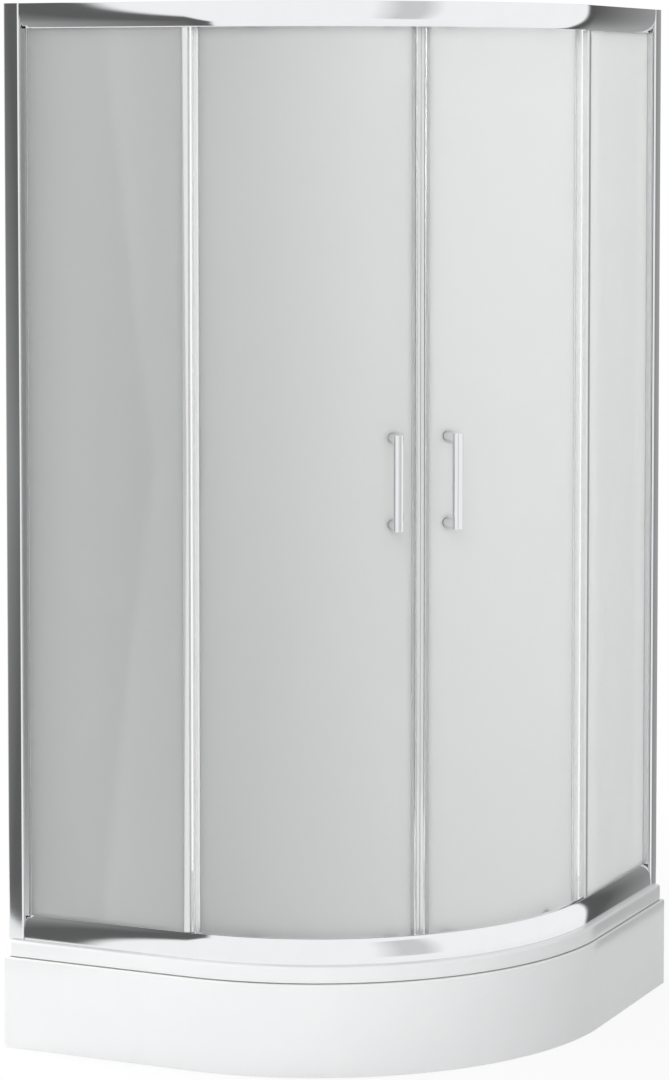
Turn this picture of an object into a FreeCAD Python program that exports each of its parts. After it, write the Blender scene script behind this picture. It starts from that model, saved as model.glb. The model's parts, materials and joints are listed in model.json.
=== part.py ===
import FreeCAD, Part
import math
import os

# Quadrant shower enclosure: two flat fixed panels on the walls, two curved doors that roll in a
# bent top rail and a bent bottom rail, and a deep quadrant tray on legs behind a bent apron.
#
# Millimetres, +Z up, floor at z = 0. The room's corner is at -X, +Y: one wall is the plane
# x = -WIDTH / 2 and the other is y = +WIDTH / 2. The front outline runs along y = -WIDTH / 2 (the
# left leg), round a quarter circle about ARC_X, ARC_Y, and along x = +WIDTH / 2 (the right leg).
#
# Places along that outline are given in three numbers:
#   n  how far inside the outline, square to it
#   u  how far from the wall, along a leg
#   z  height above the floor; "rise" is the distance from a rail's closed back instead
# The left side is modelled and the right side is its mirror image.

Vector = FreeCAD.Vector
UP = Vector(0, 0, 1)

# ---------------------------------------------------------------- overall sizes
WIDTH = 900.0
RADIUS = 550.0
HEIGHT = 1820.0
RIM_Z = 190.0

HALF = WIDTH / 2
LEG = WIDTH - RADIUS
ARC_X = -HALF + LEG
ARC_Y = HALF - LEG

# ---------------------------------------------------------------- clearances
SLIP = 0.05
LOOSE = 0.3

# ---------------------------------------------------------------- tray
RIM_INSET = 5.0
RIM_DEEP = 27.0
RIM_SHELL = 4.0
RIM_ROUND = 5.0
RIM_CORNER = 12.0
LEDGE_WIDE = 58.0
WALL_LEDGE = 50.0
BASIN_Z = 128.0
BASIN_FLOOR = 5.0
BASIN_SHELL = 4.0
BASIN_TAPER = 22.0
BASIN_CORNER = 60.0
BASIN_ROUND = 12.0
BOARD_THICK = 11.0
BOARD_INSET = 96.0
BOARD_CORNER = 40.0

# ---------------------------------------------------------------- legs and apron
BAR_SIZE = 25.0
BAR_WALL = 2.0
BAR_WALL_INSET = 60.0
BACK_BAR_INSET = 150.0
MIDDLE_BAR_OFF = 170.0
FRONT_BAR_N = 120.0
BAR_END_N = 60.0
FRONT_BAR_END_N = 95.0
FOOT_INSET = 45.0
STUD_R = 6.0
STUD_GRIP = 14.0
NUT_ACROSS = 19.0
NUT_THICK = 10.0
PAD_R = 25.0
PAD_TOP_R = 19.0
PAD_THICK = 14.0
PAD_SOCKET = 6.0
APRON_THICK = 4.0
APRON_ROUND = 3.0
APRON_LIFT = 2.0
APRON_SEAM = 2.0
APRON_FLANGE = 20.0
TONGUE_GAP = 2.0
TONGUE_THICK = 3.0
TONGUE_RISE = 12.0
CLIP_WIDE = 30.0
CLIP_THICK = 2.0
CLIP_DROP = 34.0
CLIP_REACH = 10.0
CLIP_ANGLES = (-67.5, -22.5)
CLIP_LEG_U = 110.0

# ---------------------------------------------------------------- waste
WASTE_X = -HALF + 340.0
WASTE_Y = HALF - 320.0
WASTE_HOLE_R = 45.0
BOARD_HOLE_R = 60.0
GASKET_THICK = 2.0
BODY_FLANGE_R = 52.0
BODY_FLANGE_THICK = 4.0
BODY_R = 44.0
BODY_WALL = 3.0
BODY_BOTTOM_Z = 42.0
OUTLET_R = 20.0
OUTLET_WALL = 2.5
OUTLET_HUB = 1.5
OUTLET_Z = 68.0
OUTLET_REACH = 170.0
OUTLET_SOCKET = 12.0
OUTLET_NUT_R = 27.0
OUTLET_NUT_LONG = 18.0
FLANGE_R = 56.0
FLANGE_THICK = 2.0
FLANGE_ROUND = 1.2
FLANGE_NECK_WALL = 2.5
FLANGE_NECK_DEEP = 26.0
CUP_R = 35.0
CUP_WALL = 1.6
CUP_BOTTOM_Z = 62.0
CUP_RIM = 1.0
COVER_R = 57.0
COVER_GAP = 3.0
COVER_THICK = 2.5
COVER_DOME = 5.0
COVER_SPIGOT_R = 30.0
COVER_SPIGOT_DEEP = 8.0
COVER_SLOT = 10.0

# ---------------------------------------------------------------- wall profile and jamb
PROFILE_N = (16.0, 44.0)
PROFILE_WIDE = 29.0
PROFILE_WALL = 2.0
PROFILE_NOSE = 3.4
WALL_HOLE_R = 3.25
WALL_HOLE_ENDS = 250.0
JAMB_N = (20.0, 40.0)
JAMB_U = (4.0, 38.0)
JAMB_WALL = 1.6
JAMB_CORE_U = 24.0
JAMB_NOTCH_U = 30.5
FIXING_U = 15.0
FIXING_ENDS = 210.0
FIXING_R = 1.8
FIXING_HEAD_R = 4.0
FIXING_HEAD = 2.2
FIXING_LONG = 8.0
CAP_R = 6.5
CAP_WALL = 1.4
CAP_TALL = 5.0

# ---------------------------------------------------------------- rails
RAIL_N = 16.0
RAIL_RISE = 43.0
RAIL_UPRIGHT = 12.0
RAIL_LIP_N = 26.6
RAIL_WALL = 1.8
RAIL_START_U = 31.0
SLOT_SLACK = 0.1
SLOT_DEEP = 14.0
SLOT_WALL = 1.2
CHAMBER_TOP = 38.0
LEDGE_THICK = 2.0
LEDGE_N = 48.0
BACK_LIP_WALL = 1.5
BACK_LIP_RISE = 4.0
CONNECTOR_LONG = 40.0
CONNECTOR_N = 21.0
CONNECTOR_R = 1.8
CONNECTOR_SCREW_N = 24.4
CONNECTOR_SCREW_RISES = (8.0, 20.0)
CONNECTOR_SCREW_LONG = 34.0
CONNECTOR_HEAD_R = 2.7
CONNECTOR_HEAD = 2.4

# ---------------------------------------------------------------- fixed panels
GLASS = 5.0
FIXED_N = 29.0
FIXED_START_U = 27.0
FIXED_END = 3.0
FIXED_EDGE_RISE = 30.2
GASKET = 0.5
GASKET_SHOWS = 0.4
EDGE_SEAL_WIDE = 11.0
EDGE_SEAL_END = 1.0
EDGE_SEAL_WALL = 2.0
FIN_THICK = 1.5
FIN_ROOT = 0.5
FIN_REACH = 3.6
SLOT_N = (FIXED_N - GASKET - SLOT_SLACK, FIXED_N + GLASS + GASKET + SLOT_SLACK)

# ---------------------------------------------------------------- doors
DOOR_N = 50.0
DOOR_EDGE_GAP = 2.0
DOOR_REAR = 4.0
DOOR_FRONT = 10.0
SEAL_WALL = 1.7
REAR_SEAL_WIDE = 9.0
REAR_SEAL_END = 1.0
HOOK_N = 41.0
HOOK_THICK = 1.5
FRONT_SEAL_FAR = 16.0
FRONT_SEAL_GAP = 0.5
FRONT_SEAL_ROUND = 1.0
MAGNET_BOX = 6.6
MAGNET_BOX_WALL = 1.1
SEAL_TRIM = 0.5
MAGNET_TRIM = 2.0

# ---------------------------------------------------------------- door handles
HANDLE_OFF = 50.0
HANDLE_Z = 1010.0
HANDLE_LONG = 164.0
HANDLE_STAND = 39.0
BAR_WIDE = 18.0
BAR_DEEP = 16.0
BAR_ROUND = 7.0
BAR_END_ROUND = 1.5
POST_R = 8.0
HANDLE_GASKET = 2.0
INNER_GASKET = 1.0
HANDLE_BOLT_R = 3.0
HANDLE_BOLT_BITE = 14.0
HANDLE_BORE_DEEP = 16.0
HANDLE_HOLE_R = 4.5
HANDLE_KNOB_R = 10.0
HANDLE_KNOB = 5.0
HANDLE_KNOB_ROUND = 1.5
INNER_GASKET_R = 9.0

# ---------------------------------------------------------------- rollers
WHEEL_R = 8.0
WHEEL_N = (44.0, 48.5)
WHEEL_ROUND = 0.8
WHEEL_ROOM = 0.7
WHEEL_PLAY = 0.25
AXLE_R = 2.5
AXLE_HEAD_R = 4.0
AXLE_HEAD = 1.0
FRONT_WHEEL_ANGLE = -51.0
REAR_WHEEL_ANGLE = -78.0
PLATE_THICK = 2.5
PLATE_HALF = 11.0
PLATE_MARGIN = 7.0
PLATE_CORNER = 6.0
BOLT_RISE = 34.0
BOLT_R = 3.0
BOLT_HOLE_R = 4.0
BOLT_CAP_R = 6.0
BOLT_CAP = 2.0
BOLT_HEAD_R = 5.0
BOLT_HEAD = 2.2
DOOR_TRAVEL = 25.5
STOP_LONG = 18.0
STOP_TALL = 8.0
STOP_GAP = 3.0
STOP_N = (37.0, 47.5)
LEDGE_RISE = BACK_LIP_RISE + WHEEL_ROOM + 2 * WHEEL_R + LOOSE
DOOR_EDGE_RISE = LEDGE_RISE + LEDGE_THICK + DOOR_EDGE_GAP

# ---------------------------------------------------------------- helpers


def box(x0, x1, y0, y1, z0, z1):
    return Part.makeBox(x1 - x0, y1 - y0, z1 - z0, Vector(x0, y0, z0))


def leg_box(u0, u1, n0, n1, z0, z1):
    """A box on the left leg."""
    return box(-HALF + u0, -HALF + u1, -HALF + n0, -HALF + n1, z0, z1)


def leg_point(u, n, z):
    return Vector(-HALF + u, -HALF + n, z)


def post(radius, z0, z1, x, y):
    return Part.makeCylinder(radius, z1 - z0, Vector(x, y, z0))


def along_u(radius, u0, u1, n, z):
    """A round bar along the left leg."""
    return Part.makeCylinder(radius, u1 - u0, leg_point(u0, n, z), Vector(1, 0, 0))


def along_n(radius, n0, n1, u, z):
    """A round bar across the left leg."""
    return Part.makeCylinder(radius, n1 - n0, leg_point(u, n0, z), Vector(0, 1, 0))


def tube(outer, inner, z0, z1, x, y):
    return post(outer, z0, z1, x, y).cut(post(inner, z0 - 1, z1 + 1, x, y))


def mirrored(shape):
    """The right side's copy of a left side shape."""
    return shape.mirror(Vector(0, 0, 0), Vector(1, 1, 0))


def both(shapes):
    return shapes + [mirrored(s) for s in shapes]


def union(shapes):
    return shapes[0].fuse(shapes[1:]).removeSplitter() if len(shapes) > 1 else shapes[0]


def polar(shape, angle):
    """Places a shape made with +X outwards from the arc's centre and +Y along the arc."""
    placed = shape.copy()
    placed.rotate(Vector(0, 0, 0), UP, angle)
    placed.translate(Vector(ARC_X, ARC_Y, 0))
    return placed


def polar_box(n0, n1, t0, t1, z0, z1):
    return box(RADIUS - n1, RADIUS - n0, t0, t1, z0, z1)


def pin(radius, n0, n1, t, z):
    """A round bar square to the outline, for use with polar."""
    return Part.makeCylinder(radius, n1 - n0, Vector(RADIUS - n1, t, z), Vector(1, 0, 0))


def wire_face(points):
    """A face through points; a pair of points after a point is an arc's middle and end."""
    edges = []
    here = points[0]
    for item in list(points[1:]) + [points[0]]:
        if isinstance(item, tuple):
            edges.append(Part.Arc(here, item[0], item[1]).toShape())
            here = item[1]
        else:
            edges.append(Part.LineSegment(here, item).toShape())
            here = item
    return Part.Face(Part.Wire(edges))


def along_outline(section, start_u):
    """Carries a section, drawn where the left leg meets the arc, from wall to wall."""
    leg = section.extrude(Vector(-(LEG - start_u), 0, 0))
    bend = section.revolve(Vector(ARC_X, ARC_Y, 0), UP, 90)
    return union([leg, bend, mirrored(leg)])


def bow(radius, reach):
    """How far a circle falls away from its tangent at a distance along it."""
    return radius - math.sqrt(radius ** 2 - reach ** 2)


def section_box(n0, n1, z0, z1):
    x = ARC_X
    corners = ((n0, z0), (n1, z0), (n1, z1), (n0, z1))
    return wire_face([Vector(x, -HALF + n, z) for n, z in corners])


def along_arc(n0, n1, z0, z1, angle0, angle1):
    """A curved strip about the arc's centre, between two angles."""
    section = section_box(n0, n1, z0, z1)
    section.rotate(Vector(ARC_X, ARC_Y, 0), UP, angle0 + 90)
    return section.revolve(Vector(ARC_X, ARC_Y, 0), UP, angle1 - angle0)


def plan_wire(n, wall, corner, end, z):
    """The tray's outline: n inside the front, wall inside the two walls."""
    x0, y0, x1, y1 = -HALF + wall, -HALF + n, HALF - n, HALF - wall
    r = RADIUS - n
    half = math.sqrt(0.5)

    def arc(cx, cy, radius, angle):
        a, b, c = (math.radians(angle + d) for d in (0, 45, 90))
        ends = [Vector(cx + radius * math.cos(t), cy + radius * math.sin(t), z) for t in (a, b, c)]
        return Part.Arc(*ends).toShape()

    def line(xa, ya, xb, yb):
        return Part.LineSegment(Vector(xa, ya, z), Vector(xb, yb, z)).toShape()

    return Part.Wire([
        line(x0 + end, y0, ARC_X, y0),
        arc(ARC_X, ARC_Y, r, -90),
        line(x1, ARC_Y, x1, y1 - end),
        arc(x1 - end, y1 - end, end, 0),
        line(x1 - end, y1, x0 + corner, y1),
        arc(x0 + corner, y1 - corner, corner, 90),
        line(x0, y1 - corner, x0, y0 + end),
        arc(x0 + end, y0 + end, end, 180),
    ])


def plan_prism(n, wall, corner, end, z0, z1):
    return Part.Face(plan_wire(n, wall, corner, end, z0)).extrude(Vector(0, 0, z1 - z0))


def edges_at(shape, z):
    """The edges that lie flat at one height."""
    found = []
    for edge in shape.Edges:
        low, high = edge.BoundBox.ZMin, edge.BoundBox.ZMax
        if abs(low - z) < 0.01 and abs(high - z) < 0.01:
            found.append(edge)
    return found


# ---------------------------------------------------------------- tray and its support


def basin(grow, top_z, floor_z):
    """The tray's hollow as a solid, grown sideways for the outside of its shell."""
    deep = RIM_Z - BASIN_Z
    tops = LEDGE_WIDE - grow, WALL_LEDGE - grow
    taper = BASIN_TAPER * (RIM_Z - floor_z) / deep
    top = plan_wire(tops[0], tops[1], BASIN_CORNER, BASIN_CORNER, RIM_Z)
    low = plan_wire(tops[0] + taper, tops[1] + taper, BASIN_CORNER, BASIN_CORNER, floor_z)
    solid = Part.makeLoft([top, low], True, True)
    solid = solid.makeFillet(BASIN_ROUND + grow, edges_at(solid, floor_z))
    return solid.common(plan_prism(0, 0, 1, 1, floor_z - 1, top_z))


def tray_shell():
    low = RIM_Z - RIM_DEEP
    rim = plan_prism(RIM_INSET, 0, RIM_CORNER, RIM_CORNER, low, RIM_Z)
    rim = rim.makeFillet(RIM_ROUND, edges_at(rim, RIM_Z))
    corner = RIM_CORNER - RIM_SHELL
    under = plan_prism(RIM_INSET + RIM_SHELL, RIM_SHELL, corner, corner, low - 1, RIM_Z - RIM_SHELL)
    outside = basin(BASIN_SHELL, RIM_Z - RIM_SHELL, BASIN_Z - BASIN_FLOOR)
    inside = basin(0, RIM_Z, BASIN_Z)
    hole = post(WASTE_HOLE_R, 0, RIM_Z, WASTE_X, WASTE_Y)
    return rim.cut(under).fuse(outside).cut(inside.fuse(hole)).removeSplitter()


BOARD_TOP = BASIN_Z - BASIN_FLOOR
BOARD_LOW = BOARD_TOP - BOARD_THICK
BAR_LOW = BOARD_LOW - BAR_SIZE


def base_board():
    board = plan_prism(BOARD_INSET, BOARD_INSET, BOARD_CORNER, BOARD_CORNER, BOARD_LOW, BOARD_TOP)
    return board.cut(post(BOARD_HOLE_R, 0, RIM_Z, WASTE_X, WASTE_Y))


def bar_lines():
    """For each leg bar its place across and its two ends: it stops inside the front outline."""
    lines = []
    for y, end_n in ((HALF - BACK_BAR_INSET, BAR_END_N), (WASTE_Y - MIDDLE_BAR_OFF, BAR_END_N),
                     (-HALF + FRONT_BAR_N, FRONT_BAR_END_N)):
        below = max(0.0, ARC_Y - y)
        end = ARC_X + math.sqrt((RADIUS - end_n) ** 2 - below ** 2)
        lines.append((y, -HALF + BAR_WALL_INSET, end))
    return lines


def feet():
    places = []
    for y, x0, x1 in bar_lines():
        places += [(x0 + FOOT_INSET, y), (x1 - FOOT_INSET, y)]
    return places


def leg_bars():
    """Square tubes under the board, notched where a clip's arm would cross one."""
    bars = []
    for y, x0, x1 in bar_lines():
        half = BAR_SIZE / 2
        inner = half - BAR_WALL
        bar = box(x0, x1, y - half, y + half, BAR_LOW, BOARD_LOW)
        bar = bar.cut(box(x0 - 1, x1 + 1, y - inner, y + inner, BAR_LOW + BAR_WALL, BOARD_LOW - BAR_WALL))
        for fx, fy in feet():
            bar = bar.cut(post(STUD_R + SLIP, BAR_LOW - 1, BAR_LOW + half, fx, fy))
        bars.append(bar.cut(apron_clips(LOOSE)))
    return bars


def foot_studs():
    low = PAD_THICK - PAD_SOCKET
    return [post(STUD_R, low, BAR_LOW + STUD_GRIP, x, y) for x, y in feet()]


def foot_nuts():
    nuts = []
    for x, y in feet():
        corners = [math.radians(60 * k) for k in range(6)]
        reach = NUT_ACROSS / math.sqrt(3)
        low = BAR_LOW - NUT_THICK
        points = [Vector(x + reach * math.cos(a), y + reach * math.sin(a), low) for a in corners]
        nut = wire_face(points).extrude(Vector(0, 0, NUT_THICK))
        nuts.append(nut.cut(post(STUD_R + SLIP, 0, BAR_LOW + 1, x, y)))
    return nuts


def foot_pads():
    pads = []
    for x, y in feet():
        pad = Part.makeCone(PAD_R, PAD_TOP_R, PAD_THICK, Vector(x, y, 0))
        pads.append(pad.cut(post(STUD_R + SLIP, PAD_THICK - PAD_SOCKET, PAD_THICK + 1, x, y)))
    return pads


def apron():
    """The bent front panel, with a flange on top that turns up behind the tray's rim."""
    top = RIM_Z - RIM_DEEP - APRON_SEAM
    wall_n = APRON_THICK
    tongue_n = RIM_INSET + RIM_SHELL + TONGUE_GAP
    x = ARC_X
    outer = [
        (0, APRON_LIFT), (0, top - APRON_ROUND), (APRON_ROUND, top), (tongue_n, top),
        (tongue_n, top + TONGUE_RISE), (tongue_n + TONGUE_THICK, top + TONGUE_RISE),
        (tongue_n + TONGUE_THICK, top - APRON_THICK), (wall_n, top - APRON_THICK), (wall_n, APRON_LIFT),
    ]
    places = [Vector(x, -HALF + n, z) for n, z in outer]
    bow = APRON_ROUND * (1 - math.sqrt(0.5))
    middle = Vector(x, -HALF + bow, top - bow)
    section = wire_face(places[:2] + [(middle, places[2])] + places[3:])
    free = leg_box(-1, RIM_CORNER, APRON_ROUND + SLIP, APRON_FLANGE, top, top + 2 * TONGUE_RISE)
    return along_outline(section, 0).cut(free).cut(mirrored(free))


def apron_clips(room=0.0):
    """Angle clips under the board that hold the apron from behind, or the room they need."""
    half = CLIP_WIDE / 2
    n0 = APRON_THICK + bow(RADIUS - APRON_THICK, half) + SLIP
    low = BOARD_LOW - CLIP_DROP

    def clip(make, t0, t1):
        tab = make(n0, n0 + CLIP_THICK + room, t0, t1, low, BOARD_LOW)
        arm = make(n0, BOARD_INSET + CLIP_REACH + room, t0, t1, BOARD_LOW - CLIP_THICK - room, BOARD_LOW)
        return union([tab, arm])

    def on_leg(n_low, n_high, t0, t1, z0, z1):
        return leg_box(t0, t1, n_low, n_high, z0, z1)

    reach = half + room
    found = both([clip(on_leg, CLIP_LEG_U - reach, CLIP_LEG_U + reach)])
    return found + [polar(clip(polar_box, -reach, reach), angle) for angle in CLIP_ANGLES]


# ---------------------------------------------------------------- waste

WASTE_SEAT = BOARD_TOP - GASKET_THICK
FLANGE_TOP = BASIN_Z + FLANGE_THICK
NECK_R = BODY_R - BODY_WALL - SLIP


HUB_R = OUTLET_R + OUTLET_HUB
HUB_END = BODY_R + OUTLET_SOCKET + OUTLET_NUT_LONG


def waste_pipe(radius, start, end):
    """A round bar from the waste towards the left wall, between two distances from its centre."""
    base = Vector(WASTE_X - start, WASTE_Y, OUTLET_Z)
    return Part.makeCylinder(radius, end - start, base, Vector(-1, 0, 0))


def waste_body():
    x, y = WASTE_X, WASTE_Y
    solid = union([
        post(BODY_FLANGE_R, WASTE_SEAT - BODY_FLANGE_THICK, WASTE_SEAT, x, y),
        post(BODY_R, BODY_BOTTOM_Z, WASTE_SEAT, x, y),
        waste_pipe(HUB_R + BODY_WALL, 0, BODY_R + OUTLET_SOCKET),
    ])
    solid = solid.cut(post(BODY_R - BODY_WALL, BODY_BOTTOM_Z + BODY_WALL, WASTE_SEAT + 1, x, y))
    return solid.cut(waste_pipe(HUB_R + SLIP, 0, BODY_R + OUTLET_SOCKET + 1))


def waste_outlet():
    """A pipe whose thicker hub is held in the body by the nut; the rest is bare for the drain."""
    bore = waste_pipe(OUTLET_R - OUTLET_WALL, BODY_R - 1, OUTLET_REACH + 1)
    hub = waste_pipe(HUB_R, BODY_R, HUB_END)
    return union([hub, waste_pipe(OUTLET_R, BODY_R, OUTLET_REACH)]).cut(bore)


def waste_outlet_nut():
    start = BODY_R + OUTLET_SOCKET
    nut = waste_pipe(OUTLET_NUT_R, start, HUB_END)
    return nut.cut(waste_pipe(HUB_R + SLIP, start - 1, HUB_END + 1))


def waste_gasket():
    return tube(BODY_FLANGE_R, WASTE_HOLE_R, WASTE_SEAT, BOARD_TOP, WASTE_X, WASTE_Y)


def waste_flange():
    """The visible ring on the tray's floor, with its threaded neck inside the body."""
    low = FLANGE_TOP - FLANGE_NECK_DEEP
    ring = post(FLANGE_R, BASIN_Z, FLANGE_TOP, WASTE_X, WASTE_Y)
    ring = ring.makeFillet(FLANGE_ROUND, edges_at(ring, FLANGE_TOP))
    neck = post(NECK_R, low, BASIN_Z, WASTE_X, WASTE_Y)
    bore = post(NECK_R - FLANGE_NECK_WALL, low - 1, FLANGE_TOP + 1, WASTE_X, WASTE_Y)
    return union([ring, neck]).cut(bore)


def waste_cup():
    x, y = WASTE_X, WASTE_Y
    rim_low = FLANGE_TOP + LOOSE
    solid = union([
        post(CUP_R, CUP_BOTTOM_Z, rim_low, x, y),
        post(NECK_R + CUP_RIM, rim_low, rim_low + CUP_WALL, x, y),
    ])
    return solid.cut(post(CUP_R - CUP_WALL, CUP_BOTTOM_Z + CUP_WALL, rim_low + CUP_WALL + 1, x, y))


def waste_cover():
    """A low dome whose spigot plugs into the cup; water runs in under its edge."""
    x, y = WASTE_X, WASTE_Y
    under = FLANGE_TOP + LOOSE + CUP_WALL + COVER_GAP
    radius = (COVER_R ** 2 + COVER_DOME ** 2) / (2 * COVER_DOME)
    top = under + COVER_THICK + COVER_DOME
    ball = Part.makeSphere(radius, Vector(x, y, top - radius))
    disc = post(COVER_R, under, top + 1, x, y).common(ball)
    low = under - COVER_GAP
    spigot = tube(CUP_R - CUP_WALL - SLIP, COVER_SPIGOT_R, low - COVER_SPIGOT_DEEP, under + 1, x, y)
    across = COVER_SLOT / 2
    slots = [box(x - COVER_R, x + COVER_R, y - across, y + across, low, under),
             box(x - across, x + across, y - COVER_R, y + COVER_R, low, under)]
    return union([disc, spigot]).cut(slots[0]).cut(slots[1])


# ---------------------------------------------------------------- wall profile and jamb


def wall_hole_heights():
    return RIM_Z + WALL_HOLE_ENDS, HEIGHT - WALL_HOLE_ENDS


def fixing_heights():
    return RIM_Z + FIXING_ENDS, (RIM_Z + HEIGHT) / 2, HEIGHT - FIXING_ENDS


def wall_profile():
    """A channel fixed to the wall, open towards the panel, its outer flange with a rounded nose."""
    n0, n1 = PROFILE_N
    nose = PROFILE_WIDE - PROFILE_NOSE
    shape = union([
        leg_box(0, PROFILE_WALL, n0, n1, RIM_Z, HEIGHT),
        leg_box(0, nose, n0, n0 + PROFILE_WALL, RIM_Z, HEIGHT),
        leg_box(0, PROFILE_WIDE, n1 - PROFILE_WALL, n1, RIM_Z, HEIGHT),
    ])
    corner = leg_box(nose, PROFILE_WIDE, n0, n0 + PROFILE_NOSE, RIM_Z, HEIGHT)
    round_bar = post(PROFILE_NOSE, RIM_Z, HEIGHT, -HALF + nose, -HALF + n0 + PROFILE_NOSE)
    shape = union([shape, corner.common(round_bar)])
    for z in wall_hole_heights():
        shape = shape.cut(along_u(WALL_HOLE_R, -1, PROFILE_WALL + 1, (n0 + n1) / 2, z))
    for z in fixing_heights():
        shape = shape.cut(along_n(FIXING_R + SLIP, n1 - PROFILE_WALL - 1, n1 + 1, FIXING_U, z))
    return shape


RAIL_CLEAR = RAIL_RISE + LOOSE


def jamb_profile():
    """The box profile that slides in the wall profile, with a pocket for the fixed panel."""
    n0, n1 = JAMB_N
    u0, u1 = JAMB_U
    w = JAMB_WALL
    pocket_u = JAMB_CORE_U + w
    shape = leg_box(u0, u1, n0, n1, RIM_Z, HEIGHT)
    shape = shape.cut(leg_box(u0 + w, JAMB_CORE_U, n0 + w, n1 - w, RIM_Z - 1, HEIGHT + 1))
    shape = shape.cut(leg_box(pocket_u, u1 + 1, SLOT_N[0], SLOT_N[1], RIM_Z - 1, HEIGHT + 1))
    front = leg_box(pocket_u, u1 - w, n0 + w, SLOT_N[0] - w, RIM_Z - 1, HEIGHT + 1)
    back = leg_box(pocket_u, u1 - w, SLOT_N[1] + w, n1 - w, RIM_Z - 1, HEIGHT + 1)
    shape = shape.cut(front).cut(back)
    for low, high in ((RIM_Z - 1, RIM_Z + RAIL_CLEAR), (HEIGHT - RAIL_CLEAR, HEIGHT + 1)):
        shape = shape.cut(leg_box(JAMB_NOTCH_U, u1 + 1, n0 - 1, n1 + 1, low, high))
    for z in fixing_heights():
        shape = shape.cut(along_n(FIXING_R + SLIP, n1 - w - 1, n1 + 1, FIXING_U, z))
    for z in connector_screw_heights():
        shape = shape.cut(along_u(CONNECTOR_R + SLIP, JAMB_CORE_U - 1, pocket_u + 1, CONNECTOR_SCREW_N, z))
    return shape


def jamb_screws():
    n1 = PROFILE_N[1]
    screws = []
    for z in fixing_heights():
        shaft = along_n(FIXING_R, n1 - FIXING_LONG, n1 + FIXING_HEAD / 2, FIXING_U, z)
        screws.append(union([shaft, along_n(FIXING_HEAD_R, n1, n1 + FIXING_HEAD, FIXING_U, z)]))
    return both(screws)


def jamb_screw_caps():
    n1 = PROFILE_N[1]
    caps = []
    for z in fixing_heights():
        cap = along_n(CAP_R, n1, n1 + CAP_TALL, FIXING_U, z)
        crown = -HALF + n1 + CAP_TALL
        cap = cap.makeFillet(CAP_WALL, [e for e in cap.Edges if abs(e.BoundBox.YMin - crown) < 0.01])
        caps.append(cap.cut(along_n(CAP_R - CAP_WALL, n1 - 1, n1 + CAP_TALL - CAP_WALL, FIXING_U, z)))
    return both(caps)


# ---------------------------------------------------------------- rails


def rail_heights():
    """For the bottom and the top rail: a function from rise to height."""
    return (lambda rise: RIM_Z + rise), (lambda rise: HEIGHT - rise)


def connector_screw_heights():
    return [height(rise) for height in rail_heights() for rise in CONNECTOR_SCREW_RISES]


def face_curve(rise, inward=0.0):
    """How far inside the outline the rail's bowed face lies, or the inner side of its wall."""
    tall, lean = RAIL_RISE - RAIL_UPRIGHT, RAIL_LIP_N - RAIL_N
    radius = (tall ** 2 + lean ** 2) / (2 * lean)
    above = max(0.0, rise - RAIL_UPRIGHT)
    return RAIL_N + radius - math.sqrt((radius - inward) ** 2 - above ** 2)


def rail(height):
    """A hollow rail: bowed face, slot for the fixed panels, ledge for the door wheels."""
    w = RAIL_WALL
    slot0, slot1 = SLOT_N
    back = slot1 + SLOT_WALL
    floor = RAIL_RISE - SLOT_DEEP
    mid = (RAIL_UPRIGHT + RAIL_RISE) / 2

    def at(n, rise):
        return Vector(ARC_X, -HALF + n, height(rise))

    outer = wire_face([
        at(RAIL_N, 0), at(RAIL_N, RAIL_UPRIGHT), (at(face_curve(mid), mid), at(RAIL_LIP_N, RAIL_RISE)),
        at(slot0, RAIL_RISE), at(slot0, floor), at(slot1, floor), at(slot1, RAIL_RISE), at(back, RAIL_RISE),
        at(back, LEDGE_RISE + LEDGE_THICK), at(LEDGE_N, LEDGE_RISE + LEDGE_THICK), at(LEDGE_N, LEDGE_RISE),
        at(back, LEDGE_RISE), at(back, w), at(LEDGE_N - BACK_LIP_WALL, w),
        at(LEDGE_N - BACK_LIP_WALL, BACK_LIP_RISE), at(LEDGE_N, BACK_LIP_RISE), at(LEDGE_N, 0),
    ])
    middle = (RAIL_UPRIGHT + CHAMBER_TOP) / 2
    chamber = wire_face([
        at(RAIL_N + w, w), at(RAIL_N + w, RAIL_UPRIGHT),
        (at(face_curve(middle, w), middle), at(face_curve(CHAMBER_TOP, w), CHAMBER_TOP)),
        at(slot0 - w, CHAMBER_TOP), at(slot0 - w, floor - w), at(slot1 - SLOT_WALL, floor - w),
        at(slot1 - SLOT_WALL, w),
    ])
    solid = along_outline(outer, RAIL_START_U)
    return solid.cut(along_outline(chamber, RAIL_START_U - 1))


def z_span(height, rise0, rise1):
    """Two heights in rising order."""
    return sorted((height(rise0), height(rise1)))


def rail_connectors():
    """Plastic plugs in the rails' ends, which the jambs are screwed to."""
    blocks = []
    for height in rail_heights():
        z0, z1 = z_span(height, RAIL_WALL + SLIP, RAIL_RISE - SLOT_DEEP - RAIL_WALL - SLIP)
        start = RAIL_START_U + SLIP
        block = leg_box(start, start + CONNECTOR_LONG, CONNECTOR_N, SLOT_N[1] - SLOT_WALL - SLIP, z0, z1)
        for rise in CONNECTOR_SCREW_RISES:
            block = block.cut(along_u(CONNECTOR_R + SLIP, start - 1, start + CONNECTOR_SCREW_LONG,
                                      CONNECTOR_SCREW_N, height(rise)))
        blocks.append(block)
    return both(blocks)


def rail_screws():
    screws = []
    seat = JAMB_CORE_U
    top = seat - CONNECTOR_HEAD
    for z in connector_screw_heights():
        head = along_u(CONNECTOR_HEAD_R, top, seat, CONNECTOR_SCREW_N, z)
        shaft = along_u(CONNECTOR_R, top, seat + CONNECTOR_SCREW_LONG, CONNECTOR_SCREW_N, z)
        screws.append(union([head, shaft]))
    return both(screws)


# ---------------------------------------------------------------- fixed panels


def fixed_glass():
    z0, z1 = RIM_Z + FIXED_EDGE_RISE, HEIGHT - FIXED_EDGE_RISE
    return leg_box(FIXED_START_U, LEG - FIXED_END, FIXED_N, FIXED_N + GLASS, z0, z1)


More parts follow.
